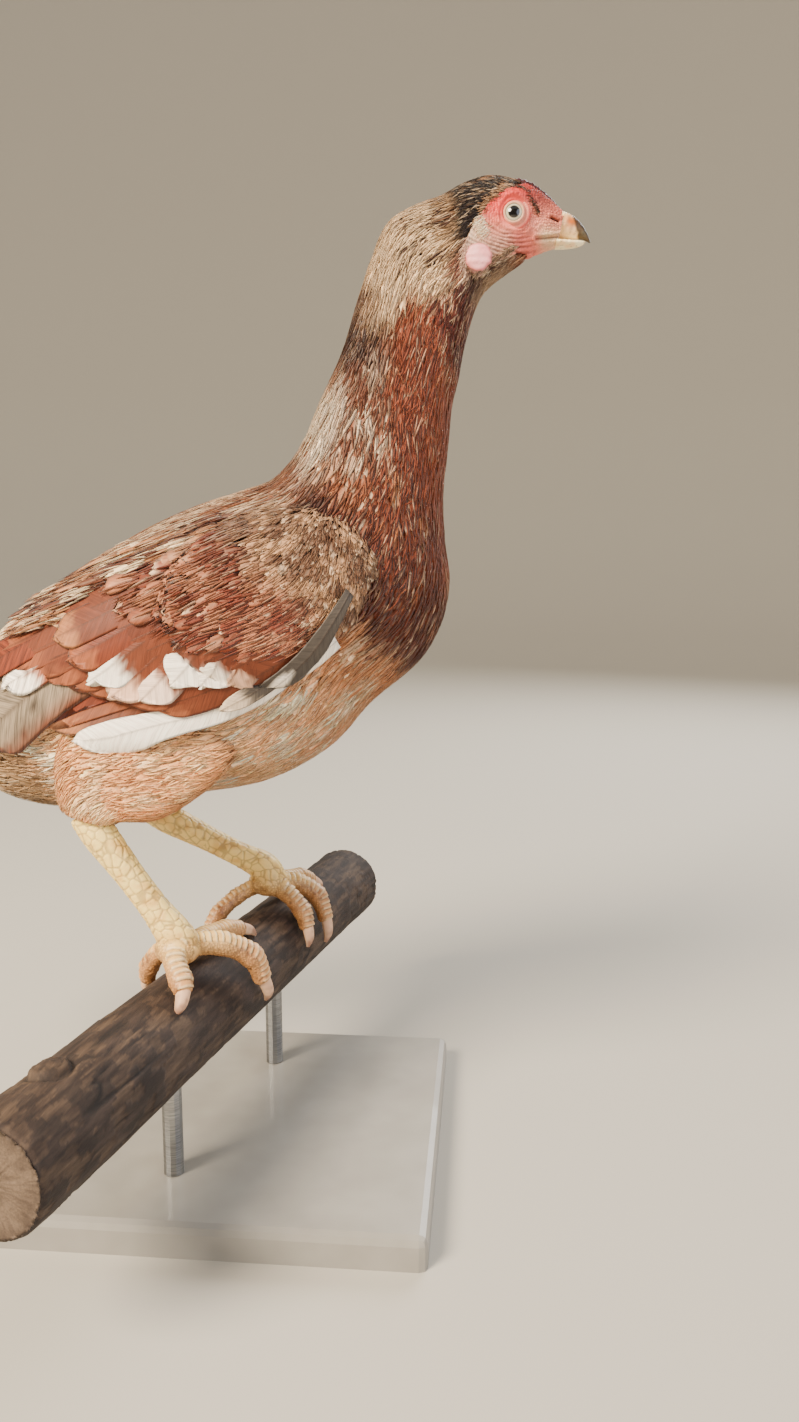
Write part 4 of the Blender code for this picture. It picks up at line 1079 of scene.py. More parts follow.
def grow(name, place, form, length, width, depth, lift, base, root_uv, pale=0.2, **shape):
    """One piece of plumage, from roots, sizes and tones that are arrays, one entry a feather."""
    count = len(length)
    rings, u, v, x, y = vane_rings(place, form, length, width, depth, lift, **shape)
    base = base * chance.normal(1, 0.07, count)[:, None]
    is_pale = chance.uniform(0, 1, count) < pale
    tip = np.where(is_pale[:, None], mixed(base, PALE_TIP, chance.uniform(0.2, 0.7, count)),
                   base * 1.10)
    colours = vane_colours(u, v, base, tip, chance.uniform(0.5, 0.85, count), 0.14, 0.12, 0.12)
    patches = root_uv[EACH] + joined((v + 1) / 2, u) * PATCH
    maps = {"Barbs": barb_map(x, y, 1.8, chance.uniform(0, 900, count)), "OFBake": patches}
    name = "plumage_" + name
    print(count, "feathers")
    add(name, rings, contour_finish, colours, maps=maps)


def grow_wisps(name, place, length, width, lift, base, root_uv, contrast=0.6):
    """Thin tufts of barbs that lie over the feathers and break up their edges."""
    count = len(length)
    kind = chance.uniform(0, 1, count)[:, None]
    base = base * chance.normal(1, 0.16 * contrast, count)[:, None]
    pale = contrast * chance.uniform(0.2, 0.7, count)
    base = np.where(kind < PALE_WISPS, mixed(base, PALE_WISP, pale), base)
    base = np.where(kind > 1 - DARK_WISPS, base * (1 - 0.4 * contrast), base)
    grow(name + "_wisps", place, WISP, length, width, WISP_DEPTH, lift, base, root_uv, 0.0,
         slope=0.4, camber=0.0, ragged=0.0)


def grow_tract(name, first, last, lengths, widths, form, pale, lift, wisp_length, wisp_width):
    """Feathers of one tract of the body, over and round it, and the wisps on them."""
    s, theta, roots = tract_roots(first, last, sum(widths) / 2 * STRIP,
                                  lambda p: np.interp(p, (first, last), lengths) * EXPOSED)
    length = np.interp(s, (first, last), lengths) * chance.uniform(0.85, 1.15, len(s))
    width = np.interp(s, (first, last), widths) * chance.uniform(0.8, 1.2, len(s))
    turn = 0.20 * mottle(roots, 22.0, 12) + chance.normal(0, 0.10, len(s))
    grow(name, on_surface(body, s, theta, turn), form, length, width,
         coat_depth(s, roots) * 0.95 + lift, lift * chance.uniform(0.1, 1.2, len(s)),
         markings(s, theta, roots), skin_uv(s, theta), pale)
    s, theta, roots = tract_roots(first, last, wisp_width * WISP_STRIP,
                                  lambda p: wisp_length * WISP_EXPOSED + 0 * p)
    turn = 0.20 * mottle(roots, 22.0, 12) + chance.normal(0, 0.20, len(s))
    size = chance.uniform(0.7, 1.25, len(s))
    grow_wisps(name, on_surface(body, s, theta, turn), wisp_length * size, wisp_width * size,
               lift + 0.5 * size, markings(s, theta, roots), skin_uv(s, theta),
               STRONG_CONTRAST if name in ("crown", "nape") else SOFT_CONTRAST)


for tract in TRACTS:
    grow_tract(*tract)

# %% [markdown]
# The thigh's feathers run down it and close over the hock. They use the thigh's own loft as
# their surface; roots that the body hides are left out.

# %% Coat of the thighs
THIGH_FEATHERS = ((21.0, 10.0), (7.0, 2.4))         # length and width, each at the top and hock
THIGH_WISPS = ((14.0, 7.0), (1.3, 0.6))
# Partly the thigh's own peach and partly painted light, set paler so the shaded thigh looks lit
THIGH_TONES = ("#F3BE8C", "#FCDBB2")
THIGH_GIRTH = 150
THIGH_MAP, THIGH_MAP_SIZE, LEFT_THIGH_MAP = (0.62, 0.02), 0.17, (0.19, 0.0)


def thigh_roots(side, ring, lengths, widths, strip, exposed):
    """Roots on the thigh that the body doesn't hide, with size, turn, tone and place in the map.

    Feathers turn back from the thigh's own line, most along its rear edge.
    """
    last = THIGH_RINGS - 1.0
    columns = int(THIGH_GIRTH / (sum(widths) / 2 * strip))
    p, q = root_rows(ring, 1.0, last - 0.5, columns, THIGH_SIDES,
                     lambda s: np.interp(s, (0, last), lengths) * exposed)
    roots = ring(p, q)
    inner = np.abs(body(*flank_place(roots[:, 0], roots[:, 2]))[:, 1]) - 1.5
    shown = np.abs(roots[:, 1]) >= inner
    p, q, roots = p[shown], q[shown], roots[shown]
    down = p / last
    base = mixed(*THIGH_TONES, ease(mottle(roots, 10.0, 15), -0.2, 0.8))
    uv = np.array(THIGH_MAP) + THIGH_MAP_SIZE * joined(q / THIGH_SIDES, down)
    uv = uv + np.array(LEFT_THIGH_MAP) * (side == "left")
    rear = ease(-30.0 - roots[:, 0] + 0.55 * (roots[:, 2] - 200.0), 0.0, 26.0)
    back = 0.55 * (1 - ease(down, 0.3, 0.9)) + 0.45 * rear * (1 - ease(down, 0.75, 1.0))
    sizes = (np.interp(down, (0, 1), ends) for ends in (lengths, widths))
    return p, q, HANDS[side] * back, base, uv, *sizes


def grow_thigh(side):
    ring = grid_surface(path_rings(THIGH_ROWS[side], THIGH_SIDES), True)
    p, q, back, base, uv, length, width = thigh_roots(side, ring, *THIGH_FEATHERS, STRIP, EXPOSED)
    place = on_surface(ring, p, q, back + chance.normal(0, 0.10, len(p)))
    grow("thigh_" + side, place, LONG_VANE, length, width, THIGH_COAT,
         chance.uniform(0.1, 0.5, len(p)), base, uv)
    p, q, back, base, uv, length, width = thigh_roots(side, ring, *THIGH_WISPS, WISP_STRIP,
                                                      WISP_EXPOSED)
    size = chance.uniform(0.7, 1.25, len(p))
    place = on_surface(ring, p, q, back + chance.normal(0, 0.22, len(p)))
    grow_wisps("thigh_" + side, place, length * size, width * size, 0.4 + 0.5 * size, base, uv)


for side in HANDS:
    grow_thigh(side)

# %% [markdown]
# The folded wing is built as it lies: a padded arm under small coverts, then tiers of larger
# feathers, each tier over the roots of the next. A flight feather runs from its root to its tip
# in the wing's own frame and bows a little; its stiff shaft stands up as a ridge, and its lower
# edge lies over the feather below it.

# %% The wing's large feathers
FLIGHT_V = np.array((-1.0, -0.86, -0.68, -0.48, -0.28, -0.10, 0.0,
                     0.10, 0.28, 0.48, 0.68, 0.86, 1.0))
ROUND_FROM = 0.86                   # where a flight feather's end begins to round
FLIGHT_U = np.concatenate((np.linspace(0, ROUND_FROM, 22), ROUND_FROM + (1 - ROUND_FROM) * np.sin(
    np.linspace(0, math.pi / 2, 9)[1:])))
FLIGHT_END = np.clip((FLIGHT_U - ROUND_FROM) / (1 - ROUND_FROM), 0, 1)
FLIGHT_VANE = {"spans": FLIGHT_U, "across": FLIGHT_V, "widths": np.minimum(
    1, 0.5 + 1.6 * FLIGHT_U) * np.sqrt(np.clip(1.0025 - FLIGHT_END ** 2, 0, 1))}
WHITE, PINKISH, RUFOUS, GREY = "#FFF6E8", "#EFCDB4", "#8A563D", "#A39684"

# Each feather: root (a, b), tip (a, b), width, lift, bow, tone, tone of its tip, where it starts
WHITE_PRIMARY = (((26, -18.5), (157, -12.5), 14.0, 4.4, -10.0, WHITE, WHITE, 0.9),)
ALULA = (((12, -3), (89, -26), 7.6, 6.4, -6.4, "#6C655E", "#D9C9B4", 0.86),)
GREATER_COVERTS = (
    ((34, 8), (72, -20), 15.0, 4.4, -2.0, RUFOUS, "#C99878", 0.80),
    ((38, 12), (81, -18), 17.0, 6.0, -2.0, RUFOUS, PINKISH, 0.80),
    ((42, 15), (91, -14), 19.0, 6.4, -2.0, "#8F5A42", WHITE, 0.72),
    ((46, 18), (103, -8), 20.0, 6.7, -2.0, "#8F5941", WHITE, 0.74),
    ((50, 20), (120, -9), 20.0, 6.9, -2.0, "#935E46", "#F6E0CE", 0.80),
    ((55, 22), (133, -2.5), 19.0, 7.1, -2.0, "#8E583F", PINKISH, 0.80),
    ((60, 25), (138, 8), 20.0, 7.3, -2.0, RUFOUS, WHITE, 0.77),
    ((64, 29), (143, 20.0), 18.0, 7.4, -2.0, "#8E5237", "#AB7150", 0.85),
    ((66, 34), (146, 31.0), 16.0, 7.5, -1.0, RUFOUS, "#B88863", 0.85),
    ((68, 40), (148, 39.0), 13.0, 5.8, 0.0, "#A46C4A", "#D2AE8B", 0.82),
    ((70, 46), (149, 47.0), 11.0, 3.0, 1.0, "#99603F", "#CBA581", 0.80),
)
TERTIALS = (
    ((86, 27), (213, 5.0), 34.0, 4.8, 2.0, GREY, RUFOUS, 0.94),
    ((88, 30), (183, 22.0), 17.0, 6.0, 0.0, "#A86C4E", WHITE, 0.80),
    ((84, 38), (203, 33.0), 16.0, 6.4, 1.0, "#8D5035", "#9D6141", 0.90),
    ((82, 42), (200, 40.0), 10.0, 5.4, 1.0, "#A5714E", "#D9BE9A", 0.72),
    ((78, 47), (190, 48.0), 9.0, 3.0, 1.0, "#C3A27E", "#E3D0B2", 0.60),
    ((74, 53), (170, 54.0), 9.0, 2.0, 1.0, "#9B6B4A", "#D5BA95", 0.70),
)


def fan(count, roots, tips, width, lifts, bow, tones, pale_tip, tip_from):
    """A tier whose feathers spread evenly between a first and a last one."""
    tier = []
    for i in range(count):
        f = i / (count - 1)
        ends = [tuple(p + (q - p) * f for p, q in zip(*pair)) for pair in (roots, tips)]
        lift = lifts[0] + (lifts[1] - lifts[0]) * f
        tier.append((*ends, width, lift, bow * (1 - f), tones[i % len(tones)], pale_tip, tip_from))
    return tuple(tier)


TIERS = {
    "primaries": fan(5, ((24, -12), (40, 6)), ((160, -7), (192, 12)), 14.0, (2.2, 3.6), -9.0,
                     ("#8A4E33", "#8F5F45", "#9F6A4B"), "#B98A68", 0.90),
    "white_primary": WHITE_PRIMARY,
    "secondaries": fan(9, ((28, -13), (54, 34)), ((119, -12.5), (184, 38)), 17.0, (5.0, 5.6), -4.5,
                       (RUFOUS, "#8C573E", "#824E37", "#925E46"), "#A87152", 0.86),
    "greater_coverts": GREATER_COVERTS,
    "tertials": TERTIALS,
    "alula": ALULA,
}
print("large feathers in each wing:", {name: len(tier) for name, tier in TIERS.items()})

# %% [markdown]
# A large feather's markings follow its barbs: the tip's tone ends in a frayed line, the grey
# tertial is barred, and the alula has one pale spot. So they are drawn with the same slanting
# millimetres as the barbs, point by point, and the two wings share one function.

# %% Growing the wing's tiers
TIER_SLOPES = {"greater_coverts": 5.5, "tertials": 2.5}     # how steeply a vane rises to its tip
TIER_RAGGED = {"greater_coverts": 0.05, "tertials": 0.06}
TIER_DEPTHS = {"white_primary": 2.2, "alula": 3.0}      # how far a tier's roots are sunk
FLIGHT_SHAPE = {"thickness": 0.3, "shaft": 0.3}
BAR_TONE, WING_SHAFT_TONE = "#4A3A30", "#5B4436"


def on_wing(side, roots, tips, bow):
    """Lays millimetres along and across feathers given by their ends in the wing's frame."""
    length = np.linalg.norm(tips - roots, axis=1)
    (ahead_a, ahead_b), (root_a, root_b) = ((tips - roots) / length[:, None]).T, roots.T

    def place(x, y, h):
        u = x / length[EACH]
        out = y + bow[EACH] * 4 * u * (1 - u)
        a = root_a[EACH] + ahead_a[EACH] * x - ahead_b[EACH] * out
        b = root_b[EACH] + ahead_b[EACH] * x + ahead_a[EACH] * out
        return lifted(WING_SURFACES[side], a, HANDS[side] * b, h)
    return place, length


def barb_streaks(barbs, size, layer, seed):
    """Noise from -1 to 1 in streaks that follow the barbs; layer sets feathers apart."""
    along = barbs[..., 0] / size
    return mottle(joined(along, barbs[..., 1] / 9.0, layer), 1.0, seed)


def show_flight(name, rings, u, v, barbs, colour, finish, *nodes):
    """Large feathers as one piece; they lie side by side in the bake map."""
    count = len(u)
    slot = (np.arange(count) + 0.1)[EACH] / count
    bake = joined(slot + (v + 1) / 2 * 0.8 / count, u * 0.98 + 0.01)
    print(count, "feathers")
    add(name, rings, finish, colour, *nodes, maps={"Barbs": barbs, "OFBake": bake})


def grow_tier(side, name, tier):
    """One tier of large feathers, with streaks that follow the barbs."""
    roots, tips, width, lift, bow, base, tip, tip_from = zip(*tier)
    is_grey = (np.array(base) == GREY)[EACH]
    roots, tips, width, lift, bow, tip_from = (
        np.array(values, dtype=float) for values in (roots, tips, width, lift, bow, tip_from))
    base, tip = (np.array([tone(value) for value in values]) for values in (base, tip))
    if side == "left":
        base = base * chance.uniform(0.85, 1.12, (len(tier), 1))
    place, length = on_wing(side, roots, tips, bow)
    rings, u, v, x, y = vane_rings(
        place, FLIGHT_VANE, length, width, TIER_DEPTHS.get(name, 6.0), lift,
        slope=TIER_SLOPES.get(name, 0.8), ragged=TIER_RAGGED.get(name, 0.05), lean=0.45,
        **FLIGHT_SHAPE)
    barbs = barb_map(x, y, 1.1, 100.0 * np.arange(len(tier)))
    streak = barb_streaks(barbs, 1.3, 0, 21)
    share = ease(u + 0.08 * streak, tip_from[EACH] - 0.05, tip_from[EACH] + 0.05)
    colour = mixed(base[EACH], tip[EACH], share)
    barred = 0.85 * ease(streak, 0.2, 0.6) if name == "tertials" else 0.22 * ease(streak, 0.2, 0.9)
    barred = barred * np.where(is_grey, 1.0, 0.35)
    colour = mixed(colour, BAR_TONE, barred * ease(np.abs(v), 0.05, 0.3))
    if name == "tertials":
        lower = ease(-v, 0.35, 0.95) * is_grey
        colour = mixed(colour, RUFOUS, 0.8 * lower * ease(u, 0.1, 0.4))
    if name == "alula":
        colour = mixed(colour, WHITE, ease(bell(u - 0.60, 0.085) * bell(v, 0.6), 0.35, 0.6))
    colour = mixed(colour, WING_SHAFT_TONE, 0.45 * bell(v, 0.06)) * (1 + 0.15 * streak)[..., None]
    show_flight("wing_%s_%s" % (name, side), rings, u, v, barbs, colour,
                loose_finish if name == "tertials" else flight_finish)


for side in HANDS:
    for name, tier in TIERS.items():
        grow_tier(side, name, tier)

# %% [markdown]
# The small coverts overlap in rows over the arm, like shingles, and grow larger away from the
# bend. On the shoulder they are brown with cream flecks and hang down; on the arm they are
# rufous and point back. The upper rows are tucked down against the back.

# %% Small coverts of the wing
# Rows over the padded arm: length and width by distance from the bend, and their tones
COVERT_A = (-9.0, 18.0, 45.0, 80.0, 112.0)
COVERT_LENGTH, COVERT_WIDTH = (7.0, 9.0, 13.0, 17.0, 22.0), (2.6, 3.2, 5.0, 7.5, 9.0)
COVERT_FROM, COVERT_TO = -24.0, 60.0
COVERT_TIPS = ((-20, -14, -8, -1, 8, 14, 33, 45, 60), (52, 64, 72, 82, 93, 102, 113, 118, 126))
COVERT_LIFTS = ((0, 30, 50, 70, 112), (0.3, 1.2, 4.2, 6.2, 7.8))
ROW_SHARE, COVERT_SHARE, TUFT_SHARE = 0.26, 0.50, 0.20      # spacing, as shares of their size
TUCK, TUCK_FROM = 0.72, (36, 54)     # the upper rows lie down against the back
SHOULDER_TONES, ARM_TONES = ("#6C4735", "#CDAA88"), ("#8E5036", "#D9A784")
EDGE_TONES = ("#9B7356", "#E6CFAF")


def covert_roots(width_share):
    """Rows of places a, b over the padded arm, up to the greater coverts' pale tips."""
    a, b = [], []
    row = COVERT_A[0]
    while row < COVERT_A[-1]:
        open_share = float(np.interp(row, (30.0, 60.0), (1.0, 1.7)))
        width = float(np.interp(row, COVERT_A, COVERT_WIDTH)) * width_share * open_share
        across = np.arange(COVERT_FROM, COVERT_TO, width)
        a.append(row + chance.normal(0, width * 0.6, len(across)))
        b.append(across + chance.normal(0, width * 0.4, len(across)))
        row += float(np.interp(row, COVERT_A, COVERT_LENGTH)) * ROW_SHARE * open_share
    a, b = np.concatenate(a), np.concatenate(b)
    reach = pad_reach(a, b)
    low, high = (np.interp(a, WING_EDGE_A, edge) for edge in (WING_EDGE_LOW, WING_EDGE_HIGH))
    within = (b > low + 7 * ease(a, 20, 45)) & ((b < high + 3) | (reach < 1.0))
    shown = within & ((reach < 1.06) | (a > 55)) & (a < np.interp(b, *COVERT_TIPS) - 15)
    return a[shown], b[shown]


def covert_lift(a, b):
    return np.interp(a, *COVERT_LIFTS) * (1 - TUCK * ease(b, *TUCK_FROM))


def covert_tones(a, b, roots):
    shoulder = np.clip(1 - ease(a + 0.35 * (20 - b) + 9 * mottle(roots, 12.0, 31), 26, 50), 0, 1)
    edge = ease(b + 3 * mottle(roots, 10.0, 33), 42, 50) * ease(a, 20, 40)
    flecks = ease(mottle(roots, 6.0, 32), -0.35, 0.55)
    base = mixed(mixed(*ARM_TONES, 0.45 * flecks), mixed(*SHOULDER_TONES, 0.15 + 0.7 * flecks),
                 shoulder)
    return mixed(base, mixed(*EDGE_TONES, flecks), edge)


def wing_uv(a, b):
    """The bake map of small feathers of the wing: its whole frame, laid flat."""
    return joined(*(MAP_EDGE + MAP_SIZE * (value - low) / (WING_STEP * cells)
                    for value, low, cells in zip((a, b), WING_LOW, WING_CELLS)))


def grow_coverts(side, tufts):
    """The small coverts, or the loose tufts that lie over them."""
    surface, hand = WING_SURFACES[side], HANDS[side]
    a, b = covert_roots(TUFT_SHARE if tufts else COVERT_SHARE)
    if tufts:
        many = np.repeat(np.arange(len(a)), 1 + 2 * (a > 45))
        a = a[many] + chance.normal(0, 2.0, len(many))
        b = b[many] + chance.normal(0, 1.5, len(many))
    base = covert_tones(a, b, surface(a, hand * b))
    downward = np.radians(62) * (1 - ease(a, 2, 40)) * (1 - ease(b, 26, 44))
    turn = -hand * downward + chance.normal(0, 0.08, len(a))
    length = np.interp(a, COVERT_A, COVERT_LENGTH) * chance.uniform(0.85, 1.15, len(a))
    width = np.interp(a, COVERT_A, COVERT_WIDTH) * chance.uniform(0.85, 1.15, len(a))
    lift = covert_lift(a, b) + chance.uniform(0, 0.4, len(a))
    place = on_surface(surface, a, hand * b, turn)
    if tufts:
        grow_wisps("wing_" + side, place, length * 0.85, width * 0.12 + 0.2, lift + 0.1, base,
                   wing_uv(a, b), 0.45)
    else:
        grow("coverts_" + side, place, LONG_VANE, length, width, 3.0, lift, base, wing_uv(a, b),
             pale=0.30, camber=0.01, ragged=0.25)


print("coverts in mm:", COVERT_LENGTH[0], "to", COVERT_LENGTH[-1])

# %% [markdown]
# Long, pointed, streaky feathers of the saddle fall from the back over the wing's upper edge and
# hide where it begins. Under all of these lies the padded arm itself, a closed cushion.

# %% Saddle feathers and the padded arm
SADDLE_A, SADDLE_B, SADDLE_STEP = (40.0, 152.0), (44.0, 66.0), (8.0, 2.6)
SADDLE_OVER, SADDLE_TUFTS = 0.6, 7  # they lie over the coverts, each with this many loose tufts
SADDLE_TOP_A, SADDLE_TOP_B = (40, 75, 106, 147, 175), (50, 56, 59, 57, 47)
SADDLE_TONES = (("#7F5138", 0.35), ("#B98B66", 0.35), ("#E9D3B3", 0.30))
ARM_TONE = "#8A5A42"
# Rings of the arm from the middle of its top to the middle of its underside: reach and lift
ARM_RINGS = ((0.02, -1.2), (0.3, -1.2), (0.55, -1.2), (0.75, -1.2), (0.9, -1.2), (0.95, -2.6),
             (0.9, -6.0), (0.5, -8.0), (0.02, -9.0))


def grow_saddle(side):
    surface, hand = WING_SURFACES[side], HANDS[side]
    a, b = (grid.ravel() for grid in np.meshgrid(np.arange(*SADDLE_A, SADDLE_STEP[0]),
                                                 np.arange(*SADDLE_B, SADDLE_STEP[1])))
    a, b = a + chance.normal(0, 3.0, len(a)), b + chance.normal(0, 1.0, len(a))
    b = b - 5.0 * ease(a, 105.0, 150.0)
    kept = b < np.interp(a, SADDLE_TOP_A, SADDLE_TOP_B)
    a, b = a[kept], b[kept]
    count = len(a)
    tones, shares = zip(*SADDLE_TONES)
    base = np.array([tone(name) for name in tones])[chance.choice(len(tones), count, p=shares)]
    lift = covert_lift(a, b) + chance.uniform(0.2, 0.8, count) + SADDLE_OVER
    uv = wing_uv(a, b)
    place = on_surface(surface, a, hand * b, hand * 0.06 + chance.normal(0, 0.06, count))
    length = chance.uniform(26.0, 36.0, count)
    grow("saddle_" + side, place, LONG_VANE, length, chance.uniform(3.6, 5.0, count), 4.0, lift,
         base, uv, pale=0.3, camber=0.04, ragged=0.15)
    many = np.repeat(np.arange(count), SADDLE_TUFTS)
    count = len(many)
    a, b = a[many] + chance.uniform(0, 20, count), b[many] + chance.normal(0, 1.3, count)
    place = on_surface(surface, a, hand * b, hand * 0.06 + chance.normal(0, 0.07, count))
    grow_wisps("saddle_" + side, place, chance.uniform(9.0, 17.0, count),
               chance.uniform(0.5, 1.1, count), lift[many] + 0.5, base[many], uv[many], 1.0)


def make_arm(side):
    turn, rings = turns(64), []
    for reach, lift in ARM_RINGS:
        a = WING_PAD_CENTRE[0] + WING_PAD_SIZE[0] * reach * np.cos(turn)
        b = WING_PAD_CENTRE[1] + WING_PAD_SIZE[1] * reach * np.sin(turn)
        rings.append(lifted(WING_SURFACES[side], a, HANDS[side] * b, lift))
    rings = np.array(rings)
    colours = np.broadcast_to(tone(ARM_TONE), rings.shape)
    add("wing_arm_" + side, rings, skin_finish, colours, "wing_" + side)


for side in HANDS:
    grow_coverts(side, False)
    grow_coverts(side, True)
    grow_saddle(side)
    make_arm(side)

# %% [markdown]
# The photograph cuts the tail off, so it follows the breed: short, carried low, and shaped like a
# roof. Seven pairs of stiff feathers lie under one another from the middle outward, and two
# tiers of softer coverts hide their roots. The same height above the root line serves them all.

# %% Tail
TAIL_ROOT, TAIL_DROP = (-124.0, 237.0), math.radians(34.0)
TAIL_STEP, TAIL_TILT, TAIL_LEVEL = 4.2, math.radians(4.0), 0.95
TAIL_ROOTS, TAIL_SAG = 0.45, 2.5    # how close the roots stand, and how far the tips hang
TAIL_TONES, TAIL_DARK = ("#7A4A33", "#A56C49"), "#3F2C24"
TAIL_END, TAIL_SHAFT = "#E4CBAA", "#C59C78"
# name: pairs, length, loss of length for each pair, width, height above the root line, pale tips
TAIL_TIERS = (
    ("tail_quills", 7, 112.0, 3.0, 24.0, 5.6, 0.93),
    ("tail_coverts_long", 5, 74.0, 3.5, 17.0, 8.6, 0.86),
    ("tail_coverts_short", 5, 48.0, 3.0, 14.0, 11.0, 0.84),
)


def on_tail(side, rank, length, width, raised):
    """Lays millimetres along and across the tail's feathers, each at its rank from the middle."""
    ahead = np.array((-math.cos(TAIL_DROP), 0.0, -math.sin(TAIL_DROP)))
    up = np.array((-math.sin(TAIL_DROP), 0.0, math.cos(TAIL_DROP)))
    start = np.array((TAIL_ROOT[0], 0.0, TAIL_ROOT[1]))
    side, rank = side[EACH], rank[EACH]
    level = 2.0 * rank + (side < 0)
    offset = width / 2 - 2.0 + TAIL_STEP * rank
    fall = TAIL_STEP * np.sin(TAIL_TILT * (rank + 1) / 2) * rank
    tilt = TAIL_TILT * (rank + 1)

    def place(x, y, h):
        u = x / length[EACH]
        spread = TAIL_ROOTS + (1 - TAIL_ROOTS) * u
        sideways = side * offset * spread + y * np.cos(tilt)
        height = (raised - level * TAIL_LEVEL - fall * spread - side * y * np.sin(tilt)
                  - TAIL_SAG * u * u + h)
        return (start + ahead * x[..., None] + up * height[..., None]
                + np.array((0.0, 1.0, 0.0)) * sideways[..., None])
    return place


def grow_tail(name, pairs, longest, loss, width, raised, tip_from):
    rank, side = np.repeat(np.arange(pairs), 2), np.tile((1.0, -1.0), pairs)
    count = len(rank)
    length = longest - loss * rank + chance.normal(0, 1.0, count)
    place = on_tail(side, rank, length, width, raised)
    rings, u, v, x, y = vane_rings(
        place, FLIGHT_VANE, length, width, 1.2, 0.0, slope=0.6, camber=0.04, ragged=0.03,
        **FLIGHT_SHAPE)
    barbs = barb_map(x, y, 1.1, 100.0 * rank + 50.0 * (side < 0))
    streak = barb_streaks(barbs, 2.0, rank[EACH], 41)
    base = mixed(*TAIL_TONES, chance.uniform(0, 1, count))
    colour = mixed(base[EACH], TAIL_DARK, 0.75 * ease(streak + 0.5 * u, 0.15, 0.9))
    colour = mixed(colour, TAIL_END, ease(u + 0.04 * streak, tip_from - 0.03, tip_from + 0.03))
    colour = mixed(colour, TAIL_SHAFT, 0.5 * bell(v, 0.06))
    show_flight(name, rings, u, v, barbs, colour, flight_finish,
                *(("tail",) if name == "tail_quills" else ()))


for tier in TAIL_TIERS:
    grow_tail(*tier)

# %% [markdown]
# The eye is a pale pearl, as the breed's standard asks. It is one glossy ball, lit by its own
# clear coat: a black pupil, an iris with fine rays and a darker rim. Two lids close round it,
# the upper one heavier, and each is a rounded roll of wrinkled skin that tapers off outward.

# %% Eyes and lids
PUPIL, IRIS, CORNEA, CORNEA_RISE = 2.65, 4.05, 4.6, 0.35
PUPIL_TONE, IRIS_TONES, RIM_TONE = "#0B0807", ("#D2CCB4", "#A0977D"), "#4A372A"
EYE_RINGS, EYE_SIDES, LID_SIDES = 56, 96, 160
LID_OPEN = (4.0, 3.9)             # half width and half height of the opening
# Sections of a lid: distance outward from its opening and height above the ball
LID_PROFILE = ((0.15, -0.9), (-0.18, -0.25), (-0.12, 0.25), (0.2, 0.62), (0.65, 0.8), (1.1, 0.72),
               (1.5, 0.42), (1.85, 0.3), (2.35, 0.52), (2.8, 0.5), (3.4, 0.1), (4.0, -0.7),
               (3.4, -1.6), (1.6, -1.6))
LID_EDGE, LID_TONE, LID_RED = "#DDB79C", "#E2A08E", "#E07F74"

# A living eye is wet, so its coat is nearly a mirror and keeps one sharp light of each lamp
eye_finish = painted_finish("polished_eye", Roughness=0.16, IOR=1.38, Coat_Weight=1.0,
                            Coat_Roughness=0.03)


def make_eye(side, hand):
    lean = np.linspace(0.004, math.pi - 0.004, EYE_RINGS)[:, None]
    turn = turns(EYE_SIDES)
    reach, rise = EYE_RADIUS * np.sin(lean), EYE_RADIUS * np.cos(lean)
    dome = CORNEA_RISE * np.clip(1 - (reach / CORNEA) ** 2, 0, 1) * (rise > 0)
    rings = joined(EYE[0] + reach * np.cos(turn), hand * (EYE[1] + rise + dome),
                   EYE[2] + reach * np.sin(turn))
    rays = 0.5 + 0.5 * np.sin(turn * 41 + 1.7 * np.sin(turn * 7))
    far = reach + (rise < 0) * 20 + 0 * turn
    iris = mixed(*IRIS_TONES, 0.5 * rays * ease(far, 2.3, 3.6))
    colour = mixed(PUPIL_TONE, iris, ease(far, PUPIL - 0.12, PUPIL + 0.12))
    colour = mixed(colour, RIM_TONE, 0.9 * ease(far, IRIS - 0.55, IRIS - 0.25))
    add("eyeball_" + side, rings, eye_finish, colour, "eye_" + side)


def make_lids(side, hand):
    turn = turns(LID_SIDES)[:, None]
    out, rise = np.array(LID_PROFILE).T
    heavy = 0.5 + 0.5 * np.sin(turn)
    opening = 1 / np.hypot(np.cos(turn) / LID_OPEN[0], np.sin(turn) / LID_OPEN[1])
    folds = 0.07 * np.sin(turn * 46 + 2.0 * np.sin(turn * 5)) * np.clip(out, 0, 1)
    reach = opening + out * (0.86 + 0.22 * heavy)
    ball = np.sqrt(np.maximum(EYE_RADIUS ** 2 - np.minimum(reach, 5.9) ** 2, 0.0))
    height = ball + rise * (0.85 + 0.45 * heavy) + folds
    rings = joined(EYE[0] + reach * np.cos(turn), hand * (EYE[1] + height),
                   EYE[2] + reach * np.sin(turn))
    colour = mixed(mixed(LID_EDGE, LID_TONE, ease(out, 0.3, 0.9)), LID_RED, ease(out, 2.2, 3.6))
    colour = colour * (1 + 0.10 * mottle(rings, 0.8, 51))[..., None]
    add("eyelids_" + side, rings, skin_finish, colour, loop=True)


for side, hand in HANDS.items():
    make_eye(side, hand)
    make_lids(side, hand)

# %% [markdown]
# The comb is a low pea comb: three fused rows of bulbs on the forehead, the middle row highest.
# Its height is a sum of bulbs and of fine pebbles over a cushion that follows the skull, and
# its underside is sunk into the skin.

# %% Comb
COMB_FRONT, COMB_BACK, COMB_RINGS, COMB_SIDES = 169.0, 146.5, 150, 90
COMB_HALF, COMB_RISE, COMB_SUNK = 5.6, 3.2, 1.6
# Place across, width, height and spacing of each row's bulbs
COMB_ROWS = ((0.0, 2.0, 1.55, 3.3), (3.2, 1.5, 1.05, 2.7), (-3.2, 1.5, 1.05, 2.7))
COMB_TONES, COMB_FOOT = ("#55272A", "#8F4F4A"), "#6E2B27"


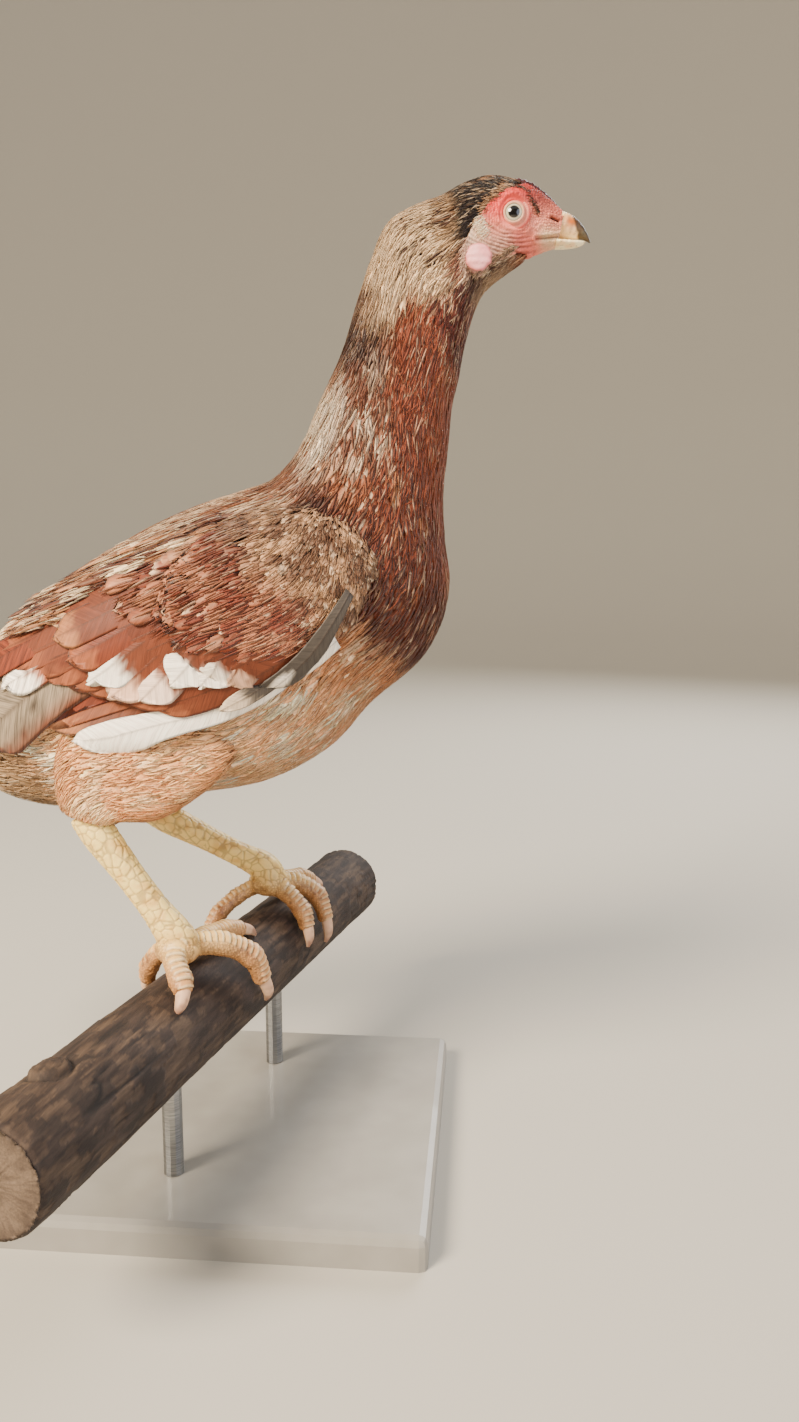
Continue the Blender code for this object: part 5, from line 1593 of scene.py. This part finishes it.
def forehead(x, across):
    s = np.interp(-x, -STATIONS[:8, 0], np.arange(8))
    half = eased(STATIONS, s)[..., 4]
    return s, np.arcsin(np.clip(-across / (half * 1.1), -1, 1))


def make_comb():
    f, turn = np.linspace(0, 1, COMB_RINGS)[:, None], turns(COMB_SIDES)
    outline = np.sqrt(np.clip(1 - (2 * f - 1) ** 4, 0.0, 1)) * (0.62 + 0.38 * f)
    x = COMB_FRONT + (COMB_BACK - COMB_FRONT) * f + 0 * turn
    across = COMB_HALF * np.cos(turn) * outline
    s, theta = forehead(x, across)
    point = body(s, theta)
    height = 0.0
    for place, width, rise, pitch in COMB_ROWS:
        wave = np.abs(np.cos(math.pi * (x + 0.5 * place + 0.8 * mottle(point, 3.0, 61)) / pitch))
        height = height + rise * bell(across - place, width) * (0.35 + 0.65 * wave)
    height = height + 0.45 * pebbles(point, 1.5, 7, 0.5) + 0.15 * mottle(point, 0.6, 63)
    top, below = np.clip(np.sin(turn), 0, 1) ** 0.6, np.clip(-np.sin(turn), 0, 1)
    height = top * outline * (COMB_RISE * 0.45 + height * (0.65 + 0.35 * f))
    height = height - COMB_SUNK * below - 0.2
    colour = mixed(*COMB_TONES, ease(height, 0.8, 3.0) * 0.75)
    colour = mixed(colour, COMB_FOOT, 0.5 * ease(-height, -0.8, 0.0))
    colour = colour * (1 + 0.15 * mottle(point, 0.9, 64))[..., None]
    add("comb_flesh", lifted(body, s, theta, height), skin_finish, colour, "comb")


make_comb()

# %% [markdown]
# Small patches of hair-like feathers soften the edges of the face: dark bristles in the groove
# beside the comb, stubble where the crown's feathers end, a cream tuft over the ear, and short
# streaky feathers round the lobe and along the jaw.

# %% Bristles of the face
# name: line of (x, z) places, spread, number, length, width, two tones
BRISTLES = (
    ("brow", ((151.5, 486.8), (156.5, 483.8), (159.8, 477.6), (162.8, 472.4)), 0.7, 420, 3.0, 0.18,
     ("#34211A", "#8A5A48")),
    ("stubble", ((150, 487.2), (144.5, 483), (138.5, 479), (134, 473)), 1.6, 420, 3.6, 0.24,
     ("#50301F", "#D9B490")),
    ("ear", ((133.5, 469.5), (135.5, 464)), 2.4, 210, 4.2, 0.34, ("#FFF3DE", "#DDBB96")),
    ("lobe_edge", ((127, 462), (125, 452), (128, 445.5)), 1.8, 260, 3.4, 0.26,
     ("#F0D2BC", "#7A4734")),
    ("jaw", ((135, 445), (144, 449.5), (154, 455)), 1.6, 420, 3.8, 0.28, ("#5E3B2C", "#EBD0B2")),
)
HEAD_SIDE = 17.0                    # about how far from the middle the face lies


def grow_bristles(side, hand):
    for name, line, spread, count, size, wide, tones in BRISTLES:
        f = chance.uniform(0, len(line) - 1, count)
        x, z = (np.interp(f, np.arange(len(line)), places) + chance.normal(0, spread / 2, count)
                for places in zip(*line))
        s, theta = body_places(joined(x, hand * HEAD_SIDE, z))
        s = s + chance.uniform(-0.05, 0.05, count)
        theta = theta + chance.uniform(-0.04, 0.04, count)
        lift = face_relief(body(s, theta)) + chance.uniform(0.15, 0.6, count)
        base = mixed(*tones, chance.uniform(0, 1, count) ** 1.5)
        place = on_surface(body, s, theta, chance.normal(0, 0.25, count))
        grow_wisps(name + "_" + side, place, size * chance.uniform(0.7, 1.2, count),
                   wide, lift, base, skin_uv(s, theta))


for side, hand in HANDS.items():
    grow_bristles(side, hand)

# %% [markdown]
# Earlobes are smooth, pinkish-white cushions with a few shallow creases. A ball, flattened and
# pushed in and out by noise, is all they need.

# %% Earlobes
LOBE, LOBE_SIZE = np.array((131.7, 17.6, 453.2)), np.array((6.2, 2.3, 6.1))
LOBE_TONES, LOBE_RIM = ("#F4BEBE", "#EBA2A0"), "#D57E74"


def make_lobe(side, hand):
    lean, turn = np.linspace(0.01, math.pi - 0.01, 72)[:, None], turns(96)
    way = joined(np.sin(lean) * np.cos(turn), np.cos(lean) * hand, np.sin(lean) * np.sin(turn))
    spot = LOBE * (1, hand, 1) + way * LOBE_SIZE
    crease = 0.16 * np.sin(spot[..., 2] * 1.9 + 1.2 * mottle(spot, 4.0, 71))
    bumps = 0.16 * mottle(spot, 1.8, 72) + 0.08 * mottle(spot, 0.9, 73) + crease
    spot = spot + way * bumps[..., None]
    colour = mixed(*LOBE_TONES, ease(mottle(spot, 3.5, 74), -0.2, 0.9) * 0.6)
    colour = mixed(colour, LOBE_RIM, 0.6 * ease(np.sin(lean), 0.75, 1.0))
    add("lobe_skin_" + side, spot, skin_finish, colour, "earlobe_" + side)


for side, hand in HANDS.items():
    make_lobe(side, hand)

# %% [markdown]
# The beak is two closed lofts of horn, the upper hooked over the lower: cream, with an orange
# stain at its side and a dark ridge that runs to the tip. Horn is layered keratin, worn dull by
# pecking, and a little light goes into it. The claws have the same finish.

# %% Beak
# (x, z) of the upper line, (x, z) of the lower line, half width
UPPER_BEAK = np.array((
    (170.5, 476.9, 168.2, 465.2, 7.2), (172.0, 476.5, 169.5, 465.1, 7.0),
    (175.4, 474.9, 173.2, 464.8, 6.0), (178.6, 472.4, 176.8, 464.7, 4.7),
    (181.2, 468.9, 179.9, 464.6, 3.3), (183.1, 465.5, 182.2, 463.6, 1.7),
    (183.9, 463.1, 183.5, 462.8, 0.3)))
LOWER_BEAK = np.array((
    (168.0, 464.3, 167.4, 461.0, 6.4), (169.3, 464.3, 168.8, 460.9, 6.3),
    (173.4, 464.1, 173.1, 460.8, 5.1), (177.2, 464.0, 177.0, 461.1, 3.7),
    (179.9, 463.9, 179.8, 461.8, 2.0), (181.6, 463.6, 181.5, 463.1, 0.4)))
BEAK_RINGS, BEAK_SIDES = 64, 72
BEAK_TONES, BEAK_STAIN, BEAK_SPECK = ("#FFF1CE", "#FADCAE"), "#D08228", "#6B4A33"
BEAK_RIDGE, BEAK_FRONT = "#6A4A30", "#3A2A16"
STAIN_PLACE, DARK_FROM = (174.4, 471.0), (175.2, 473)

horn_finish = painted_finish(
    "beak_and_claw_horn", ("ShaderNodeTexNoise", {"Scale": 1400.0, "Detail": 3.0}, 0, 0.08, 0.4),
    Roughness=0.50, IOR=1.5, Specular_IOR_Level=0.3, Subsurface_Weight=0.10,
    Subsurface_Scale=1.0, Subsurface_Radius=(0.0016, 0.0010, 0.0006))


def make_beak(name, rows, node):
    t = np.linspace(0, len(rows) - 1, BEAK_RINGS)[:, None]
    row, turn = eased(rows, t), turns(BEAK_SIDES)
    f = (1 + np.cos(turn)) / 2
    spot = joined(row[..., 2] + (row[..., 0] - row[..., 2]) * f,
                  row[..., 4] * np.sin(turn) * (1 + 0.10 * np.cos(turn)),
                  row[..., 3] + (row[..., 1] - row[..., 3]) * f)
    reach = t / t[-1] + 0 * turn
    growth = 0.05 * np.sin(reach * 60 + 2 * mottle(spot, 3.0, 81)) + 0.07 * mottle(spot, 1.0, 82)
    spot[..., 1] = spot[..., 1] * (1 + growth * 0.35)
    spot[..., 2] = spot[..., 2] + growth * (1 - reach) * f
    base = mixed(*BEAK_TONES, ease(mottle(spot, 2.5, 83), -0.4, 0.8))
    if node == "beak_upper":
        x, z = spot[..., 0], spot[..., 2]
        base = mixed(base, BEAK_STAIN, bell(x - STAIN_PLACE[0], 4.4) * bell(z - STAIN_PLACE[1], 3.4))
        ridge = ease(np.cos(turn) + 0.25 * mottle(spot, 2.0, 84) + 0.6 * reach, 0.35, 1.1)
        base = mixed(base, BEAK_RIDGE, 0.9 * ridge * ease(reach, 0.2, 0.6))
        front = x - DARK_FROM[0] + 0.31 * (z - DARK_FROM[1]) + 0.5 * mottle(spot, 1.6, 86)
        base = mixed(base, BEAK_FRONT, 0.9 * ease(front, -0.6, 0.9))
    specks = ease(mottle(spot, 0.8, 85), 0.45, 0.75) * ease(-np.cos(turn), -0.2, 0.6)
    base = mixed(base, BEAK_SPECK, 0.5 * specks)
    add(name, spot, horn_finish, base, node)


make_beak("beak_horn_upper", UPPER_BEAK, "beak_upper")
make_beak("beak_horn_lower", LOWER_BEAK, "beak_lower")

# %% [markdown]
# Legs are scaled like a reptile's. Shank, pad and toes are lofts that one voxel remesh fuses into
# a single hide, which rounds the webs between them as skin does; a union would leave creases.

# %% Legs as lofts
SHANKS = {
    "right": ((-54.5, -50, 194.5), (-13.5, -48.8, 137.0)),
    "left": ((-55.0, 44.5, 174.0), (9.5, 52.5, 139.2)),
}
# The shank's radii; its last two rows run on into the pad, from the end by these millimetres
SHANK_RADII = (7.5, 8.6, 8.0, 7.3, 7.1, 7.4, 8.8)
SHANK_FOOT = ((4.0, 0.0, -6.0, 9.3), (7.0, 0.0, -11.0, 7.5))
PAD_PLACE, PAD_RADII = (3.0, 0.0, -9.0), (11.2, 11.2, 8.2)
# Toes: points of the centre line and the claw's bend and tip, then radius at root and end
TOES = {
    "right": {
        "middle": ((-8, -47, 129), (8, -36, 126), (20.5, -27, 116.5), (25, -23, 103.5),
                   (27, -20, 95), (24.5, -17, 86), 6.2, 4.6),
        "outer": ((-9, -49, 128), (-8.5, -60, 126), (-3.5, -68, 119.5), (-1.5, -71, 115.5),
                  (-1.5, -76, 111), (-4, -80, 105), 5.8, 4.6),
        "inner": ((-8, -45, 128), (-4, -24, 124.5), (2, -6, 121.5), (6.5, 5, 118.5),
                  (10.5, 11, 115.5), (15, 15, 110), 5.6, 4.4),
        "hind": ((-12, -47, 128), (-22, -43, 122.5), (-28.5, -39, 114), (-30.8, -36, 106.5),
                 (-32, -34, 101), (-31, -32, 94), 5.0, 4.0),
    },
    "left": {
        "middle": ((12, 54, 129), (27, 64, 126), (38, 69, 117), (43.5, 67, 104),
                   (45, 65, 96), (43, 62, 86.5), 5.9, 4.4),
        "outer": ((11, 57, 128), (17, 75, 124.5), (24, 91, 121), (29, 99, 117),
                  (33, 104, 112.5), (35, 107, 106), 5.5, 4.2),
        "inner": ((11, 52, 128.5), (23.5, 51, 124), (33, 48.5, 114), (36, 46.5, 105.5),
                  (37.3, 44.5, 99.5), (36.5, 42.5, 91.5), 5.5, 4.3),
        "hind": ((6, 52, 128), (-5, 46, 122.5), (-13.5, 38, 115), (-17.5, 34, 108.5),
                 (-20, 32, 103), (-20.5, 30, 96), 4.9, 3.9),
    },
}
LEG_VOXEL, LEG_RELAX, LEG_STEPS, LEG_SIDES, JOINT_SWELL = 0.54, 30, 60, 28, 0.10
TOE_TAPER = (0.95, 0.98, 0.78)

# Scales are keratin over living skin: waxy, with soft highlights and a little light inside
scale_finish = painted_finish(
    "leg_scale_keratin", ("ShaderNodeTexNoise", {"Scale": 900.0, "Detail": 3.0}, 0, 0.12, 0.5),
    Roughness=0.46, IOR=1.5, Subsurface_Weight=0.10, Subsurface_Scale=1.0,
    Subsurface_Radius=(0.0018, 0.0011, 0.0006))


def limb_rows(places, radii, steps=LEG_STEPS):
    """Centre line and radii of a limb, eased through its places, with swollen joints."""
    places = np.array(places, dtype=float)
    r = np.interp(np.linspace(0, 1, len(places)), np.linspace(0, 1, len(radii)), radii)
    t = np.linspace(0, len(places) - 1, steps)
    rows = eased(np.column_stack((places, r, r)), t)
    joint = bell(np.abs(t - np.round(t)), 0.18) * (t > 0.5) * (len(radii) == 5)
    rows[:, 3:] = rows[:, 3:] * (1 - JOINT_SWELL / 2 + JOINT_SWELL * joint[:, None])
    return rows


def leg_limbs(side):
    """Every limb of a leg as rows, the shank first."""
    top, end = (np.array(place, dtype=float) for place in SHANKS[side])
    shank = [top + (end - top) * f for f in np.linspace(0, 1, len(SHANK_RADII))]
    shank += [end + np.array(row[:3]) for row in SHANK_FOOT]
    limbs = [limb_rows(shank, (*SHANK_RADII, *(row[3] for row in SHANK_FOOT)))]
    for *points, _, _, thick, thin in TOES[side].values():
        points = [np.array(point, dtype=float) for point in points]
        beyond = points[-1] + (points[-1] - points[-2]) * 0.12
        radii = (thick, thick * TOE_TAPER[0], thick * TOE_TAPER[1], thin, thin * TOE_TAPER[2])
        limbs.append(limb_rows([*points, beyond], radii))
    return limbs


def fused_leg(side, limbs):
    """One closed hide from the lofts of shank and toes and the ball of the pad."""
    whole = bmesh.new()
    lean, turn = np.linspace(0.05, math.pi - 0.05, 16)[:, None], turns(LEG_SIDES)
    ball = PAD_RADII * joined(np.sin(lean) * np.cos(turn), np.sin(lean) * np.sin(turn),
                              np.cos(lean))
    for rings in [*(path_rings(rows, LEG_SIDES) for rows in limbs),
                  ball + SHANKS[side][1] + PAD_PLACE]:
        whole.from_mesh(rings_mesh("limb", rings, scale_finish))
    form = new_object("leg_form", bpy.data.meshes.new("leg_form"))
    whole.to_mesh(form.data)
    whole.free()
    remesh = form.modifiers.new("remesh", "REMESH")
    remesh.mode, remesh.voxel_size = "VOXEL", LEG_VOXEL * MM
    relax = form.modifiers.new("relax", "SMOOTH")
    relax.factor, relax.iterations = 0.5, LEG_RELAX
    hide = solid_mesh(form)
    bpy.data.objects.remove(form)
    hide.name = "leg_hide_" + side
    return hide


print("toes:", {side: list(toes) for side, toes in TOES.items()})

# %% [markdown]
# The scales are real relief. Each point of the hide finds the nearest centre line, and from its
# place along and round that line comes its height: many-sided scales on the shank, overlapping
# plates on top of the toes, and pebbles underneath. An image of scales would slide round joints.

# %% Scales of the legs
TOE_PLATE, PLATE_RISE, PLATE_GROOVE, PLATE_HALF = 3.1, 0.42, 0.50, 5.4
# Length and width of the shank's many-sided scales, and the height of their rounded tops
SCUTE, SCUTE_RISE = (5.4, 4.6), 0.34
PEBBLE, PEBBLE_TOP = 1.35, 0.30
LEG_PAINTED_SHADE = {"left": 0.88, "right": 1.0}    # the far, left leg is painted darker, as painted shade
SHANK_TONES, TOE_TONES = ("#FFE7A0", "#EBC880"), ("#DCB07F", "#AC8056")
PLATE_TONE, CREASE_TONE, SOIL_TONE = "#F6E9C6", "#7D5840", "#6E4A38"
FOOT_HEIGHTS = (118.0, 145.0)               # the shank's tones turn into the toes' between these
PERCH_HEADING, PERCH_Z, PERCH_RADIUS = math.radians(12.4), 90.0, 24.0
PERCH_ALONG = np.array((math.sin(PERCH_HEADING), math.cos(PERCH_HEADING), 0.0))
SHANK_FACE = np.array((1.0, 0.0, 0.35))     # the way that the front of the shank faces


def off_perch(line):
    """Directions from the perch's centre line to each place; the tops of toes face that way."""
    away = line - (0, 0, PERCH_Z)
    return unit(away - PERCH_ALONG * (away @ PERCH_ALONG)[:, None])


def plates(along, across):
    """Height of overlapping plates, and how deep a point lies in the grooves between them."""
    f = np.mod(along / TOE_PLATE, 1.0)
    edge = np.minimum(f, 1 - f) * TOE_PLATE
    groove = np.maximum(bell(edge, 0.30), bell(np.abs(across) - PLATE_HALF, 0.35))
    return PLATE_RISE * ease(f, 0.0, 0.8) * (1 - ease(f, 0.93, 1.0)), groove


def leg_places(limbs, points):
    """For each point: millimetres along its limb and across its top, and if it is the shank."""
    rows = []
    for k, limb in enumerate(limbs):
        line = limb[:, :3]
        ahead = unit(np.gradient(line, axis=0))
        top = off_perch(line) if k else SHANK_FACE + 0 * line
        top = unit(top - ahead * (top * ahead).sum(1)[:, None])
        length = np.append(0, np.cumsum(np.linalg.norm(np.diff(line, axis=0), axis=1)))
        rows.append(np.column_stack((line, ahead, top, length, np.full(len(line), k == 0))))
    rows = np.concatenate(rows)
    tree = search_tree(rows[:, :3])
    row = rows[[tree.find(point)[1] for point in points]]
    away, ahead, top = points - row[:, :3], row[:, 3:6], row[:, 6:9]
    along = row[:, 9] + (away * ahead).sum(1)
    up, beside = (away * top).sum(1), (away * np.cross(ahead, top)).sum(1)
    return along, np.arctan2(beside, up) * np.hypot(up, beside), row[:, 10] > 0.5


def make_leg(side):
    limbs = leg_limbs(side)
    hide = fused_leg(side, limbs)
    points = mesh_points(hide) / MM
    along, across, is_shank = leg_places(limbs, points)
    rise, groove = plates(along + 0.25 * mottle(points, 5.0, 91), across)
    plated = (1 - ease(np.abs(across), PLATE_HALF - 0.3, PLATE_HALF + 0.5)) * ~is_shank
    scutes = pebbles(joined(along / SCUTE[0], across / SCUTE[1], 0.5), 1.0, 1, 0.16)
    small = np.where(is_shank, scutes, pebbles(points, PEBBLE, 2))
    height = plated * rise + (1 - plated) * np.where(is_shank, SCUTE_RISE, PEBBLE_TOP) * small
    height = height - PLATE_GROOVE * plated * groove + 0.10 * mottle(points, 1.2, 92)
    points = points + mesh_points(hide, "vertex_normals", "vector") * height[:, None]
    hide.vertices.foreach_set("co", (points * MM).astype(np.float32).ravel())
    hide.update()
    low = 1 - ease(points[:, 2], *FOOT_HEIGHTS)
    light, dark = (mixed(*tones, low) for tones in zip(SHANK_TONES, TOE_TONES))
    colour = mixed(light, dark, ease(mottle(points, 4.0, 93), -0.1, 0.9) * 0.8)
    colour = mixed(colour, PLATE_TONE, 0.45 * plated * ease(rise, 0.25, PLATE_RISE))
    creases = np.maximum(plated * groove, (1 - plated) * (1 - small))
    colour = mixed(colour, CREASE_TONE, 0.46 * creases)
    soil = ease(mottle(points, 3.0, 94) + 0.5 * mottle(points, 1.2, 95), 0.35, 0.95) * low
    specks = ease(mottle(points, 1.1, 98) + 0.4 * mottle(points, 6.0, 99), 0.72, 0.9)
    # Soil and specks are dirt; then the far, left leg is darkened as painted shade
    colour = mixed(colour, SOIL_TONE, np.maximum(0.55 * soil, 0.32 * specks)) * LEG_PAINTED_SHADE[side]
    hide.materials.clear()
    hide.materials.append(scale_finish)
    hide.shade_smooth()
    paint(hide, colour)
    show("leg_hide_" + side, hide, "shank_" + side, "foot_" + side)


for side in HANDS:
    make_leg(side)

# %% [markdown]
# A claw is a horn cone that bends down, with a ridge on top and a groove underneath. The perch
# has worn these short. They could be one with the hide, but horn is glossier than scales, so
# each claw is a small loft of its own in the beak's finish.

# %% Claws
CLAW_LENGTH = 0.62                  # as a share of the solids' last joint
CLAW_TAPER, CLAW_SIDES = (0.80, 0.66, 0.22), 36
CLAW_TONES, CLAW_SHINE = ("#E6C6AA", "#B08D78"), "#E8D2B8"


def make_claws(side):
    for name, (*points, bend, tip, _, thin) in TOES[side].items():
        tip = np.array(bend) + (np.array(tip) - bend) * CLAW_LENGTH
        rows = limb_rows([points[-1], bend, tip], [thin * share for share in CLAW_TAPER], 40)
        line = rows[:, None, :3]
        ahead, away = unit(np.gradient(rows[:, :3], axis=0))[:, None], off_perch(rows[:, :3])[:, None]
        top = unit(away - ahead * (away * ahead).sum(-1, keepdims=True))
        rings = path_rings(rows, CLAW_SIDES)
        upward = (unit(rings - line) * top).sum(-1)
        swell = (1 + 0.10 * bell(upward - 1, 0.35) - 0.12 * bell(upward + 1, 0.5)
                 + 0.02 * mottle(rings, 1.2, 96))
        rings = line + (rings - line) * swell[..., None]
        f = np.linspace(0, 1, len(rows))[:, None] + 0.25 * mottle(rings, 2.0, 97)
        colour = mixed(*CLAW_TONES, ease(f, 0.1, 0.9))
        colour = mixed(colour, CLAW_SHINE, 0.4 * bell(upward + 0.2, 0.5))
        title = "%s_%s" % (name, side)
        add("claw_horn_" + title, rings, horn_finish, colour, "claw_" + title)


for side in HANDS:
    make_claws(side)

# %% [markdown]
# The perch is a weathered pole with most of its bark still on. Its grooves run with the grain,
# flakes of bark stand half a millimetre proud, and the upper side is worn smooth by feet. Its
# sawn ends show rings, and a stub of a branch is left near the near end. Weathered bark and wood
# are dull and dry, so the finish has no gloss, and fibres of about a millimetre run along it.

# %% Perch
PERCH_FROM, PERCH_TO, PERCH_RINGS, PERCH_SIDES, CUT_RINGS = -190.0, 185.0, 360, 160, 14
PERCH_FRONT = np.array((math.cos(PERCH_HEADING), -math.sin(PERCH_HEADING), 0.0))
UP = np.array((0.0, 0.0, 1.0))
KNOT_PLACE, KNOT_TURN, KNOT_RISE, KNOT_EDGE, KNOT_RING = -148.0, math.radians(-8.0), 2.6, 9.6, 5.2
FOOT_ZONE, FOOT_ZONE_SOFT = (-80.0, 118.0), 12      # where the feet have worn the bark
BARK_TONES, WOOD_TONES, END_TONES = (("#3F312A", "#62534A"), ("#5C4B3F", "#85725F"),
                                     ("#8A7968", "#605043"))
CRACK_TONE, RING_TURN = "#2F2520", 3.4         # a ring of growth every 1.85 mm
FIBRE_STRETCH = (1100.0, 90.0, 1100.0)      # fibres are a millimetre thick and eleven long

bark_finish, tree, shader = new_material("weathered_bark_and_wood", Roughness=0.82)
colour = add_node(tree, "ShaderNodeAttribute", attribute_name="plumage")
turned = object_space(tree, Rotation=(0.0, 0.0, PERCH_HEADING), Scale=FIBRE_STRETCH)
fibre = add_node(tree, "ShaderNodeTexNoise", {"Vector": turned, "Scale": 1.0, "Detail": 4.0,
                                              "Roughness": 0.7})
light = add_node(tree, "ShaderNodeMapRange", {"Value": fibre.outputs[0], "From Min": 0.3,
                                              "From Max": 0.7, "To Min": 0.72, "To Max": 1.25})
shaded = add_node(tree, "ShaderNodeVectorMath", {0: colour.outputs["Color"],
                                                 1: light.outputs["Result"]}, operation="MULTIPLY")
tree.links.new(shaded.outputs["Vector"], shader.inputs["Base Color"])
add_bump(tree, shader, fibre.outputs[0], 0.5, 0.6)


def make_perch():
    closing = np.linspace(0.02, 0.96, CUT_RINGS)
    turn = turns(PERCH_SIDES)
    s = np.concatenate((np.full(CUT_RINGS, PERCH_FROM), np.linspace(PERCH_FROM, PERCH_TO, PERCH_RINGS),
                        np.full(CUT_RINGS, PERCH_TO)))[:, None]
    inward = np.concatenate((closing, np.ones(PERCH_RINGS), closing[::-1]))[:, None]
    wrap = joined(s, PERCH_RADIUS * np.cos(turn), PERCH_RADIUS * np.sin(turn))
    long = wrap / (9.0, 1.0, 1.0)
    grain = mottle(long, 1.7, 101) * 0.5 + mottle(long, 0.8, 102) * 0.3
    flake = ease(mottle(wrap / (1.7, 1, 1), 4.6, 103) + 0.5 * mottle(long, 1.2, 104)
                 + 0.3 * mottle(wrap, 1.4, 113), -0.15, 0.0)
    crack = (bell(mottle(wrap / (14.0, 1, 1), 5.0, 105), 0.05)
             * ease(mottle(wrap, 30.0, 106), -0.1, 0.3))
    worn = ease(np.cos(turn), 0.2, 0.95) * (0.6 + 0.4 * mottle(wrap, 25.0, 107))
    zone = (ease(s, FOOT_ZONE[0] - FOOT_ZONE_SOFT, FOOT_ZONE[0])
            * (1 - ease(s, FOOT_ZONE[1], FOOT_ZONE[1] + FOOT_ZONE_SOFT)))
    height = (1 - 0.55 * zone) * (0.30 * grain + 0.45 * flake * (1 - 0.7 * worn) - 0.8 * crack)
    height = height - 0.55 + (1 - zone) * 0.6 * mottle(wrap, 26.0, 108)
    knot = np.minimum(*(np.hypot(s - KNOT_PLACE, PERCH_RADIUS * (turn - whole - KNOT_TURN))
                        for whole in (0.0, 2 * math.pi)))
    height = height + KNOT_RISE * (1 - ease(knot, 6.6, 9.4)) + 1.0 * bell(knot, 3.0)
    height = height - 0.7 * bell(knot - KNOT_EDGE, 0.8) - 0.5 * bell(knot - KNOT_RING, 0.4)
    rim = np.minimum(s - PERCH_FROM, PERCH_TO - s)
    radius = (PERCH_RADIUS + height) * inward - 1.4 * (1 - ease(rim, 0.0, 2.2)) * (inward == 1)
    face = joined(radius * np.cos(turn) / 0.5, radius * np.sin(turn) / 4, 0.0)
    saw = 0.35 * mottle(face, 1.0, 109) * (inward < 1)
    out = PERCH_FRONT * np.sin(turn)[:, None] + UP * np.cos(turn)[:, None]
    spot = PERCH_ALONG * (s + saw)[..., None] + out * radius[..., None] + UP * PERCH_Z
    bark = mixed(*BARK_TONES, ease(grain + 0.5 * mottle(wrap, 9.0, 110), -0.5, 0.8))
    wood = mixed(*WOOD_TONES, ease(grain, -0.5, 0.6))
    colour = mixed(bark, wood, np.clip(0.75 * (1 - flake) + 0.35 * worn, 0, 1) * 0.75)
    dark = crack + 0.8 * bell(knot - KNOT_EDGE, 1.0) + 0.6 * bell(knot - KNOT_RING, 0.5)
    colour = mixed(colour, CRACK_TONE, 0.8 * np.clip(dark, 0, 1))
    growth = 0.5 + 0.5 * np.sin(radius * RING_TURN + 1.2 * mottle(spot, 6.0, 111))
    end = mixed(*END_TONES, growth * 0.7 + 0.3 * mottle(spot, 2.0, 112))
    colour = mixed(colour, end, (inward < 0.99) * 1.0)
    add("perch_bark", spot, bark_finish, colour, "perch")


make_perch()

# %% [markdown]
# The stand is carried over from the solids as it is. Its base has a satin coat of warm grey
# paint, sprayed, with the faint orange peel that a spray gun leaves. Its rods are brushed steel:
# fine scratches run round them, which draws each highlight out along the rod.

# %% Stand
BRUSH_STRETCH = (150.0, 150.0, 4000.0)      # scratches 0.25 mm wide that run round the rods

base_finish, tree, shader = new_material("satin_grey_paint", Roughness=0.42, Coat_Weight=0.2)
where = object_space(tree)
cloud = add_node(tree, "ShaderNodeTexNoise", {"Vector": where, "Scale": 40.0, "Detail": 2.0})
paint_tone = add_node(tree, "ShaderNodeValToRGB", {"Fac": cloud.outputs[0]},
                      stops=((0.3, "#A9A59D"), (0.7, "#B3AFA7")))
tree.links.new(paint_tone.outputs["Color"], shader.inputs["Base Color"])
peel = add_node(tree, "ShaderNodeTexNoise", {"Vector": where, "Scale": 700.0, "Detail": 1.0})
add_bump(tree, shader, peel.outputs[0], 0.05, 0.4)

steel_finish, tree, shader = new_material("brushed_steel", Roughness=0.32, Metallic=1.0)
stretched = object_space(tree, Scale=BRUSH_STRETCH)
brush = add_node(tree, "ShaderNodeTexNoise", {"Vector": stretched, "Scale": 1.0, "Detail": 3.0})
metal_tone = add_node(tree, "ShaderNodeValToRGB", {"Fac": brush.outputs[0]},
                      stops=((0.3, "#9C9D9E"), (0.7, "#C4C5C6")))
tree.links.new(metal_tone.outputs["Color"], shader.inputs["Base Color"])
add_bump(tree, shader, brush.outputs[0], 0.02, 0.3)

for name, finish, slot in (("stand_base", base_finish, "base_paint"),
                           ("stand_rod_near", steel_finish, "rod_steel"),
                           ("stand_rod_far", steel_finish, "rod_steel")):
    solid = bpy.data.objects[name]
    if solid.data.materials:
        solid.data.materials[0] = finish
    else:
        solid.data.materials.append(finish)
    print(name, "in", finish.name)
